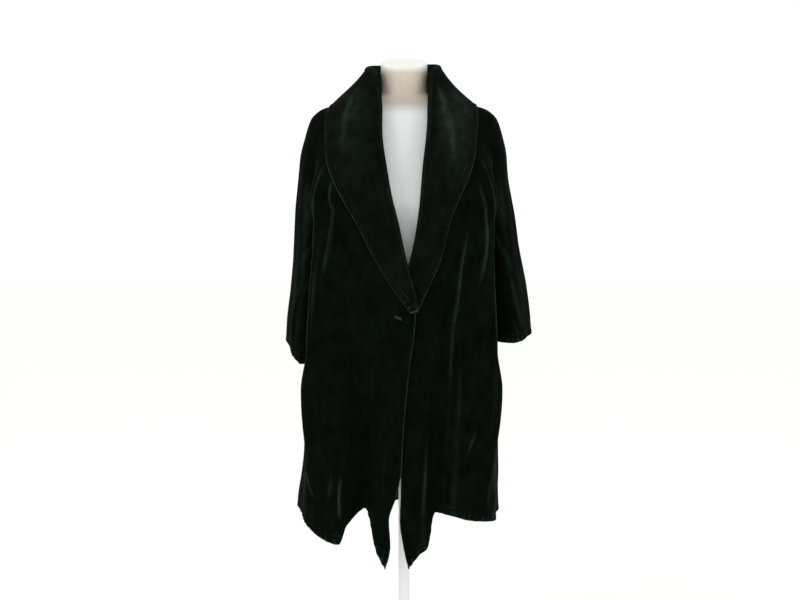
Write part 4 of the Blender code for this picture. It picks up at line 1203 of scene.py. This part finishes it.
# a painted highlight along each soft crease of the collar, stronger where the crease stands higher
for side, name in ((RIGHT, "collar_right"), (LEFT, "collar_left")):
    raised = collar_crease_out(side, round_neck[:, None], share_down) * ease(*STREAK_SHARES, share_down)
    COLLAR_SHEEN_STREAKS[name] = STREAK_SHEEN * np.clip(raised / STREAK_FULL, 0, 1)
    print(name, "streaks open the pile by up to", round(float(COLLAR_SHEEN_STREAKS[name].max()), 2))

# %% Dress the panels
Panel = namedtuple("Panel", "node flip seams finishes outer inner")
PANELS = [
    Panel("front_right", True, ("top", "last"), (HEM_FINISH, FRONT_EDGE_FINISH), body_velvet, reverse),
    Panel("front_left", False, ("top", "last"), (HEM_FINISH, FRONT_EDGE_FINISH), body_velvet, reverse),
    Panel("back", True, ("top", "first", "last"), (HEM_FINISH,), body_velvet, reverse),
    Panel("sleeve_right", True, ("top", "first", "last"), (CUFF_FINISH,), body_velvet, reverse),
    Panel("sleeve_left", False, ("top", "first", "last"), (CUFF_FINISH,), body_velvet, reverse),
    Panel("collar_right", False, ("bottom", "first"), (COLLAR_FINISH,), collar_velvet, collar_velvet),
    Panel("collar_left", True, ("bottom", "first"), (COLLAR_FINISH,), collar_velvet, collar_velvet),
]
# the oblong that each panel would be cut from, chosen to come to the built panel's own area: its width,
# its length and the share of it that is cloth
FLAT_SIZES = {
    "front_right": (0.40, 1.07, 0.68),
    "front_left": (0.40, 1.07, 0.68),
    "back": (0.78, 1.02, 0.68),
    "sleeve_right": (0.54, 0.60, 0.65),
    "sleeve_left": (0.54, 0.60, 0.65),
    "collar_right": (0.22, 0.72, 0.68),
    "collar_left": (0.22, 0.72, 0.68),
}
for panel in PANELS:
    grid = GRIDS[panel.node]
    for finish in panel.finishes:
        grid = finish_edge(grid, panel.flip, finish)
    GRIDS[panel.node] = grid
    # the collar's painted ridge highlight is held back on its roll, and its creases get painted streaks
    ridge_sheen_share = COLLAR_RIDGE_SHEEN if panel.node in COLLAR_SHEEN_STREAKS else 1.0
    sheen_streaks = COLLAR_SHEEN_STREAKS.get(panel.node, 0.0)
    faces = (panel.outer, panel.inner)
    shell = cloth_shell(panel.node + "_cloth", grid, panel.flip, panel.seams, faces, ridge_sheen_share, sheen_streaks)
    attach(shell, BODY)
    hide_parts(panel.node)
    wide, long, share = FLAT_SIZES[panel.node]
    print(shell.name, len(shell.data.polygons) * 2, "triangles")

# %% [markdown]
# ## Stitching
#
# A sewing machine makes the same stitch again and again, so this is a job for Geometry Nodes. A line
# of points is laid on the cloth at a set distance from the edge, with the way out of the cloth stored
# on each point. The node tree turns the line into a curve, sets points along it one stitch apart and
# places a small flattened bead of thread on each, turned along the line. Real stitches are about
# 2.5 mm long. These are drawn a little coarser, so that they can be seen at this distance.

# %% Stitch tree
STITCH_PITCH = 4.2 * MM
STITCH_LENGTH = 3.2 * MM
STITCH_WIDE = 0.7 * MM
STITCH_RAISED = 0.15 * MM
STITCH_SHORTEST = 0.86
STITCH_LONGEST = 1.14
STITCH_SEED = 7


def stitch_tree():
    """Beads of thread, one stitch apart, along a line of points that carry a direction called facing."""
    tree = bpy.data.node_groups.new("stitches", "GeometryNodeTree")
    sockets = [("Line", "NodeSocketGeometry"), ("Pitch", "NodeSocketFloat"), ("Length", "NodeSocketFloat"),
               ("Wide", "NodeSocketFloat"), ("Seed", "NodeSocketInt"), ("Thread", "NodeSocketMaterial")]
    for name, kind in sockets:
        tree.interface.new_socket(name=name, in_out="INPUT", socket_type=kind)
    tree.interface.new_socket(name="Stitches", in_out="OUTPUT", socket_type="NodeSocketGeometry")
    given = add(tree, "NodeGroupInput").outputs
    curve = add(tree, "GeometryNodeMeshToCurve", {"Mesh": given["Line"]})
    spaced = add(tree, "GeometryNodeResampleCurve", {"Curve": curve.outputs[0], "Length": given["Pitch"]},
                 mode="LENGTH")
    facing = add(tree, "GeometryNodeInputNamedAttribute", {"Name": "facing"}, data_type="FLOAT_VECTOR")
    tangent = add(tree, "GeometryNodeInputTangent")
    upright = add(tree, "FunctionNodeAlignRotationToVector", {"Vector": facing.outputs[0]}, axis="Z")
    along = add(tree, "FunctionNodeAlignRotationToVector",
                {"Rotation": upright.outputs[0], "Vector": tangent.outputs[0]}, axis="X", pivot_axis="Z")
    uneven = add(tree, "FunctionNodeRandomValue",
                 {2: STITCH_SHORTEST, 3: STITCH_LONGEST, "Seed": given["Seed"]}, data_type="FLOAT")
    length = add(tree, "ShaderNodeMath", {0: given["Length"], 1: uneven.outputs[1]}, operation="MULTIPLY")
    size = add(tree, "ShaderNodeCombineXYZ", {0: length.outputs[0], 1: given["Wide"], 2: given["Wide"]})
    bead = add(tree, "GeometryNodeMeshUVSphere", {"Segments": 6, "Rings": 4, "Radius": 0.5})
    placed = add(tree, "GeometryNodeInstanceOnPoints",
                 {"Points": spaced.outputs[0], "Instance": bead.outputs[0], "Rotation": along.outputs[0],
                  "Scale": size.outputs[0]})
    real = add(tree, "GeometryNodeRealizeInstances", {"Geometry": placed.outputs[0]})
    round_ones = add(tree, "GeometryNodeSetShadeSmooth", {0: real.outputs[0]})
    threaded = add(tree, "GeometryNodeSetMaterial",
                   {"Geometry": round_ones.outputs[0], "Material": given["Thread"]})
    add(tree, "NodeGroupOutput", {0: threaded.outputs[0]})
    return tree


def sew(name, line, facing, tree, thread):
    """A row of stitches along a line on the cloth, as a plain mesh."""
    mesh = bpy.data.meshes.new(name)
    mesh.from_pydata(line.tolist(), [(i, i + 1) for i in range(len(line) - 1)], [])
    stored = mesh.attributes.new("facing", "FLOAT_VECTOR", "POINT")
    stored.data.foreach_set("vector", facing.astype(np.float32).ravel())
    made = bpy.data.objects.new(name, mesh)
    bpy.context.scene.collection.objects.link(made)
    modifier = made.modifiers.new("stitches", "NODES")
    modifier.node_group = tree
    values = {"Pitch": STITCH_PITCH, "Length": STITCH_LENGTH, "Wide": STITCH_WIDE, "Seed": STITCH_SEED,
              "Thread": thread}
    for item in tree.interface.items_tree:
        if item.name in values:
            modifier[item.identifier] = values[item.name]
    solid = bpy.data.meshes.new_from_object(made.evaluated_get(bpy.context.evaluated_depsgraph_get()))
    made.modifiers.clear()
    made.data = solid
    return made


# black mercerised cotton: a tight thread with a faint shine on each bead
thread = plain_finish("black_cotton_thread", {"Base Color": linear("#090c0a"), "Roughness": 0.7,
                                              "Specular IOR Level": 0.08})
stitches = stitch_tree()
for panel in PANELS:
    finish = panel.finishes[0]
    line, facing = stitch_line(GRIDS[panel.node], panel.flip, finish, STITCH_RAISED)
    row = sew(panel.node + "_stitches", line, facing, stitches, thread)
    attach(row, BODY)
    print(row.name, len(row.data.polygons), "faces")

# %% [markdown]
# ## Dress form
#
# The form is a smooth moulded torso with a neck and no arms: white, with painted shade on the neck,
# paling to a painted highlight near the top, and a flat cap. It is turned from the same rings as its
# solid, on many more levels, with the cap's edge rounded.

# %% Form tables
FORM_RINGS = [
    Ring(1.500, 0.0515, 0.0500, 0.0500, 2.0),
    Ring(1.450, 0.0520, 0.0510, 0.0510, 2.0),
    Ring(1.430, 0.0550, 0.0530, 0.0540, 2.0),
    Ring(1.4144, 0.1060, 0.0580, 0.0680, 2.1),
    Ring(1.4019, 0.1490, 0.0640, 0.0830, 2.2),
    Ring(1.3879, 0.1700, 0.0700, 0.0930, 2.3),
    Ring(1.372, 0.1800, 0.0800, 0.1040, 2.3),
    Ring(1.328, 0.1820, 0.0940, 0.1150, 2.3),
    Ring(1.270, 0.1700, 0.1080, 0.1200, 2.3),
    Ring(1.190, 0.1500, 0.1200, 0.1160, 2.2),
    Ring(1.110, 0.1380, 0.1120, 0.1060, 2.1),
    Ring(1.000, 0.1220, 0.0980, 0.0940, 2.0),
    Ring(0.900, 0.1420, 0.1080, 0.1140, 2.0),
    Ring(0.820, 0.1600, 0.1160, 0.1280, 2.1),
    Ring(0.760, 0.1600, 0.1140, 0.1240, 2.1),
    Ring(0.730, 0.1480, 0.1040, 0.1120, 2.1),
    Ring(0.720, 0.1280, 0.0880, 0.0950, 2.1),
]
FORM_FOOT = FORM_RINGS[-1].height
FORM_TOP = FORM_RINGS[0].height
FORM_STEP = 6 * MM
FORM_COLUMNS = 96
NECK_SLOPE = 0.28
NECK_SLOPE_FOOT = NECK_Z
BUST_OUT = 16 * MM
BUST_BEARING = 33
BUST_WIDTH = 17
BUST_Z = 1.185
BUST_TALL = 60 * MM
CAP_ROUND = 5 * MM
CAP_TURNS = np.radians([18, 36, 54, 72, 90])
CAP_SHARES = (0.12, 0.30, 0.60)


def form_ring(level, inset=0.0):
    """One ring of the form, set in by a few millimetres where an edge is rounded."""
    bearing = np.linspace(0, 360, FORM_COLUMNS, endpoint=False)
    radius = oval_radius(FORM_RINGS, bearing, level)
    tall = np.exp(-0.5 * ((level - BUST_Z) / BUST_TALL) ** 2)
    for side in (RIGHT, LEFT):
        away = angle_between(bearing, side * BUST_BEARING)
        radius = radius + BUST_OUT * tall * np.exp(-0.5 * (away / BUST_WIDTH) ** 2)
    ring = polar(bearing, radius - inset, level)
    ring[:, 2] += NECK_SLOPE * ease(NECK_SLOPE_FOOT, FORM_TOP, level) * ring[:, 1]
    return ring


def ring_solid(name, rings, finishes, cap_rings=0):
    """A solid from closed rings, with a middle point at each end. The last rings may be another finish."""
    count = len(rings[0])
    points = np.concatenate([*rings, [rings[0].mean(axis=0)], [rings[-1].mean(axis=0)]])
    foot = len(points) - 2
    last = (len(rings) - 1) * count
    faces = []
    slots = []
    for r in range(len(rings) - 1):
        for c in range(count):
            a = r * count + c
            b = r * count + (c + 1) % count
            faces += [(a, b, b + count), (a, b + count, a + count)]
        slots += [int(r >= len(rings) - 1 - cap_rings)] * (2 * count)
    for c in range(count):
        faces += [((c + 1) % count, c, foot), (last + c, last + (c + 1) % count, foot + 1)]
        slots += [0, int(cap_rings > 0)]
    return mesh_object(name, points, faces, slots, finishes)


form_levels = np.linspace(FORM_FOOT, FORM_TOP - CAP_ROUND, round((FORM_TOP - FORM_FOOT) / FORM_STEP))
form_rings = [form_ring(level) for level in form_levels]
for turn in CAP_TURNS:
    level = FORM_TOP - CAP_ROUND * (1 - math.sin(turn))
    form_rings.append(form_ring(level, CAP_ROUND * (1 - math.cos(turn))))
for share in CAP_SHARES:
    middle = form_rings[-1].mean(axis=0)
    form_rings.append(middle + (form_rings[-1] - middle) * (1 - share))
print("form rings:", len(form_rings), "of", FORM_COLUMNS, "points")

# %% [markdown]
# The torso is a satin white plastic. The neck carries painted shade: from just above the shoulders it is
# painted a darker, warmer cream, which pales upwards, and near its cap it is painted paler than the torso,
# as light from above. All is one mesh, so the shader reads the height and mixes one tone after another
# over the white, each between two heights.

# %% Form finish
Tone = namedtuple("Tone", "low high colour")
# painted shade on the neck, darkest and warmest just above the shoulders, then a painted highlight near the
# cap
NECK_SHADE_TONES = [
    Tone(1.383, 1.407, "#a8a194"),
    Tone(1.410, 1.474, "#bbb0a1"),
    Tone(1.473, 1.488, "#e2e0da"),
]
MOTTLE_MM = 9


def moulded_plastic(name):
    """Satin white plastic with painted shade on the neck, paling upwards, and a very faint mottle so that it
    does not look flat.
    """
    made = plain_finish(name, {"Roughness": 0.42})
    tree = made.node_tree
    place = add(tree, "ShaderNodeTexCoord").outputs["Object"]
    height = add(tree, "ShaderNodeSeparateXYZ", {0: place}).outputs["Z"]
    colour = linear("#d0d2d1")
    for tone in NECK_SHADE_TONES:
        risen = add(tree, "ShaderNodeMapRange",
                    {"Value": height, "From Min": tone.low, "From Max": tone.high})
        mixed = add(tree, "ShaderNodeMix", {"Factor": risen.outputs[0], 6: colour, 7: linear(tone.colour)},
                    data_type="RGBA")
        colour = mixed.outputs[2]
    mottle = add(tree, "ShaderNodeTexNoise", {"Vector": place, "Scale": per_metre(MOTTLE_MM), "Detail": 2.0})
    skin = add(tree, "ShaderNodeBump",
               {"Height": mottle.outputs["Fac"], "Strength": 0.1, "Distance": 0.2 * MM})
    shader = tree.nodes["Principled BSDF"]
    tree.links.new(colour, shader.inputs["Base Color"])
    tree.links.new(skin.outputs[0], shader.inputs["Normal"])
    return made


# the neck's cap: the same plastic, a little smoother, painted paler than the torso as light from above
cap_plastic = plain_finish("white_cap_plastic", {"Base Color": linear("#e4e3dd"), "Roughness": 0.35})
form_finishes = (moulded_plastic("satin_white_plastic"), cap_plastic)
form = ring_solid("dress_form_skin", form_rings, form_finishes, len(CAP_SHARES))
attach(form, BODY)
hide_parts("dress_form")
print(form.name, len(form.data.polygons), "triangles")

# %% [markdown]
# ## Stand
#
# A pole, a socket and a round base plate, all steel enamelled white. They are turned shapes, so each
# is a short profile of radius and height spun round the axis, with its corners rounded by a few
# extra rings: a sharp edge never catches the light.

# %% Turned stand
POLE_RADIUS = 12.5 * MM
POLE_FOOT_Z = 60 * MM
SOCKET_RADIUS = 22 * MM
SOCKET_TOP_RADIUS = 19 * MM
SOCKET_FOOT_RADIUS = 34 * MM
SOCKET_FLANGE = 4 * MM
SOCKET_SHOULDER = 14 * MM
BASE_RADIUS = 175 * MM
BASE_THICK = 12 * MM
BASE_EDGE = 3 * MM
STAND_SIDES = 96
# the inner ring on each flat end, as a share of the radius there
BASE_FLAT = 0.5
SOCKET_FLAT = 0.8
END_FLAT = 0.7
# rounding of the corners: its size, the most of a side that it takes, and the places of its rings
STAND_ROUND = 1.2 * MM
ROUND_MOST = 0.45
ROUND_SHARES = (0.0, 0.3, 0.7, 1.0)


def turned(name, profile, rounding, finish):
    """A solid of revolution from (radius, height) corners, each corner cut by a small arc."""
    rings = []
    for i, corner in enumerate(profile):
        corner = np.array(corner)
        if 0 < i < len(profile) - 1:
            before = np.array(profile[i - 1]) - corner
            after = np.array(profile[i + 1]) - corner
            reach = min(rounding, ROUND_MOST * np.linalg.norm(before), ROUND_MOST * np.linalg.norm(after))
            start = corner + unit(before) * reach
            end = corner + unit(after) * reach
            for t in ROUND_SHARES:
                rings.append(start * (1 - t) ** 2 + corner * 2 * t * (1 - t) + end * t ** 2)
        else:
            rings.append(corner)
    turn = np.linspace(0, 360, STAND_SIDES, endpoint=False)
    return ring_solid(name, [polar(turn, radius, height) for radius, height in rings], (finish,))


# white enamelled steel: smooth, with a soft highlight
enamel = plain_finish("white_enamelled_steel", {"Base Color": linear("#dedede"), "Roughness": 0.35})
socket_foot = BASE_THICK + SEAM_GAP
pole_foot = POLE_FOOT_Z + SEAM_GAP
pole_top = FORM_FOOT - SEAM_GAP
base_corners = [(BASE_RADIUS * BASE_FLAT, 0.0), (BASE_RADIUS, 0.0), (BASE_RADIUS, BASE_THICK - BASE_EDGE),
                (BASE_RADIUS - BASE_EDGE, BASE_THICK), (BASE_RADIUS * BASE_FLAT, BASE_THICK)]
socket_corners = [(SOCKET_FOOT_RADIUS * SOCKET_FLAT, socket_foot), (SOCKET_FOOT_RADIUS, socket_foot),
                  (SOCKET_FOOT_RADIUS, BASE_THICK + SOCKET_FLANGE),
                  (SOCKET_RADIUS, BASE_THICK + SOCKET_SHOULDER),
                  (SOCKET_TOP_RADIUS, POLE_FOOT_Z), (SOCKET_TOP_RADIUS * END_FLAT, POLE_FOOT_Z)]
pole_corners = [(POLE_RADIUS * END_FLAT, pole_foot), (POLE_RADIUS, pole_foot),
                (POLE_RADIUS, pole_top), (POLE_RADIUS * END_FLAT, pole_top)]
stand = {"stand_base": base_corners, "stand_socket": socket_corners, "stand_pole": pole_corners}
for node, corners in stand.items():
    piece = turned(node + "_enamel", corners, STAND_ROUND, enamel)
    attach(piece, BODY)
    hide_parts(node)
    print(piece.name, len(piece.data.polygons), "triangles")

# %% [markdown]
# ## Covered button and bound buttonhole
#
# The coat closes with one button covered in its own velvet. The buttonhole is bound: two narrow lips
# of velvet lie side by side, with the slit between them. The button comes through near one end. Closed
# lips hide the slit, so here it is only the line between them, and the cloth below isn't cut.

# %% Button
BUTTON_X = 6 * MM
BUTTON_Z = 0.942
# a bearing near the button, and the steps by which directions on the cloth are read
BUTTON_NEAR = 2.0
NEXT_BEARING = 1.0
NEXT_RISE = 5 * MM
BUTTON_RADIUS = 11.5 * MM
BUTTON_THICK = 6.5 * MM
BUTTON_LIFT = 0.9 * MM
BUTTON_SIDES = 48
BUTTON_RINGS = 26
Dome = namedtuple("Dome", "place width height")
BUTTON_DOME = [
    Dome(0, 0.62, 0.00),
    Dome(1, 0.94, 0.18),
    Dome(2, 1.00, 0.40),
    Dome(3, 0.90, 0.68),
    Dome(4, 0.66, 0.88),
    Dome(5, 0.34, 0.98),
    Dome(6, 0.04, 1.00),
]


def right_front(bearing, z):
    """A point on the wearer's right front."""
    bearing = np.asarray(bearing, float)
    z = np.asarray(z, float)
    radius = front_radius(RIGHT, bearing, z) + crease_out(FRONT_CREASES, bearing, z, BODY_ARC)
    return polar(bearing, radius, z)


def right_front_frame(bearing, z):
    """A point on the right front, and the ways across, up and out of it."""
    here = right_front(bearing, z)
    across = unit(right_front(bearing + NEXT_BEARING, z) - here)
    out = unit(np.cross(across, right_front(bearing, z + NEXT_RISE) - here))
    return here, across, np.cross(out, across), out


button_radius = body_radius(np.array(BUTTON_NEAR), np.array(BUTTON_Z))
button_bearing = float(np.degrees(np.arcsin(BUTTON_X / button_radius)))
here, across, up, out = right_front_frame(button_bearing, BUTTON_Z)
turn = np.linspace(0, 2 * np.pi, BUTTON_SIDES, endpoint=False)[:, None]
rim = across * np.cos(turn) + up * np.sin(turn)
button_rings = []
for place in np.linspace(0, len(BUTTON_DOME) - 1, BUTTON_RINGS):
    wide = BUTTON_RADIUS * float(smooth(BUTTON_DOME, "width", place))
    high = BUTTON_LIFT + BUTTON_THICK * float(smooth(BUTTON_DOME, "height", place))
    button_rings.append(here + rim * wide + out * high)
button = ring_solid("button_cover", button_rings, (body_velvet,))
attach(button, BODY)
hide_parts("button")
print(button.name, "at", [round(float(v), 3) for v in here])

# %% Bound buttonhole
# the ends of the slit, each a bearing and a height
HOLE_START = (-6.4, 0.950)
HOLE_END = (4.8, 0.936)
LIP_APART = 3.0 * MM
LIP_HALF_WIDE = 1.5 * MM
LIP_HALF_HIGH = 0.8 * MM
LIP_RAISED = 0.3 * MM
# how full a lip is at its ends, how bluntly it tapers to them, and the tip that doesn't taper further
LIP_END = 0.25
LIP_BLUNT = 0.3
LIP_TIP = 0.02
LIP_STATIONS = 28
LIP_SIDES = 10
# the lips are painted pale, as a highlight on their rolls
LIP_SHEEN = 0.75


def lip(name, offset, finish):
    """One lip of the buttonhole: a soft flattened roll that lies on the cloth."""
    rings = []
    around = np.linspace(0, 2 * np.pi, LIP_SIDES, endpoint=False)[:, None]
    for t in np.linspace(0, 1, LIP_STATIONS):
        bearing = HOLE_START[0] + (HOLE_END[0] - HOLE_START[0]) * t
        z = HOLE_START[1] + (HOLE_END[1] - HOLE_START[1]) * t
        here, _, up, out = right_front_frame(bearing, z)
        inside = min(max(t, LIP_TIP), 1 - LIP_TIP)
        full = LIP_END + (1 - LIP_END) * math.sin(math.pi * inside) ** LIP_BLUNT
        section = up * np.cos(around) * LIP_HALF_WIDE * full + out * np.sin(around) * LIP_HALF_HIGH * full
        rings.append(here + up * offset + out * LIP_RAISED + section)
    return ring_solid(name, rings, (finish,))


for name, offset in (("buttonhole_lip_upper", LIP_APART / 2), ("buttonhole_lip_lower", -LIP_APART / 2)):
    piece = lip(name, offset, body_velvet)
    # a painted highlight over both lips
    pile_sheen_layer = piece.data.attributes.new("nap", "FLOAT", "POINT")
    pile_sheen_layer.data.foreach_set("value", np.full(len(piece.data.vertices), LIP_SHEEN, np.float32))
    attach(piece, BODY)
    print(piece.name, len(piece.data.polygons), "triangles")

# %% [markdown]
# ## Floor, light and camera
#
# A plain pale floor and an even white surround, as in a light tent, with two soft boxes at the sides. A
# third, just in front of the camera, reaches the form's chest at the bottom of the collar's opening, which
# the cloth would leave too dark. The camera is a little above the chest and looks slightly down.

# %% Floor and surround
FLOOR_HALF = 14.0
FLOOR_DROP = 0.5 * MM
floor_mesh = bpy.data.meshes.new("floor")
floor_corners = [(-1, -1), (1, -1), (1, 1), (-1, 1)]
floor_points = [(x * FLOOR_HALF, y * FLOOR_HALF, -FLOOR_DROP) for x, y in floor_corners]
floor_mesh.from_pydata(floor_points, [], [(0, 1, 2, 3)])
floor = bpy.data.objects.new("floor", floor_mesh)
bpy.context.scene.collection.objects.link(floor)
floor_mesh.materials.append(plain_finish("pale_studio_floor", {"Base Color": linear("#f9f9f8"),
                                                               "Roughness": 0.9}))

surround = bpy.data.worlds.new("white_surround")
surround.use_nodes = True
surround.node_tree.nodes["Background"].inputs["Color"].default_value = linear("#ffffff")
surround.node_tree.nodes["Background"].inputs["Strength"].default_value = 1.04
bpy.context.scene.world = surround
print("floor", 2 * FLOOR_HALF, "m wide,", FLOOR_DROP / MM, "mm under the stand")

# %% Lamps and camera
Lamp = namedtuple("Lamp", "name place aim power size")
LAMPS = [
    Lamp("soft_box_left", (-2.2, -2.6, 2.5), (0.0, 0.0, 1.05), 20, 1.0),
    Lamp("soft_box_right", (2.4, -2.4, 2.1), (0.0, 0.0, 1.0), 12, 1.0),
    Lamp("soft_box_front", (0.0, -2.9, 1.3), (0.0, 0.0, 1.1), 11, 0.8),
]
for lamp in LAMPS:
    light = bpy.data.lights.new(lamp.name, "AREA")
    light.energy = lamp.power
    light.size = lamp.size
    placed = bpy.data.objects.new(lamp.name, light)
    placed.location = lamp.place
    placed.rotation_euler = (Vector(lamp.aim) - Vector(lamp.place)).to_track_quat("-Z", "Y").to_euler()
    bpy.context.scene.collection.objects.link(placed)

CAMERA_PLACE = Vector((-0.009, -3.1878, 1.2489))
CAMERA_AIM = Vector((-0.009, 0.0, 0.97))
LENS_MM = 64
SENSOR_MM = 36
camera = bpy.data.objects.new("camera", bpy.data.cameras.new("camera"))
camera.data.lens = LENS_MM
camera.data.sensor_width = SENSOR_MM
camera.location = CAMERA_PLACE
camera.rotation_euler = (CAMERA_AIM - CAMERA_PLACE).to_track_quat("-Z", "Y").to_euler()
bpy.context.scene.collection.objects.link(camera)
bpy.context.scene.camera = camera
bpy.context.scene.view_settings.view_transform = "Standard"
print("camera at", tuple(round(v, 3) for v in CAMERA_PLACE))
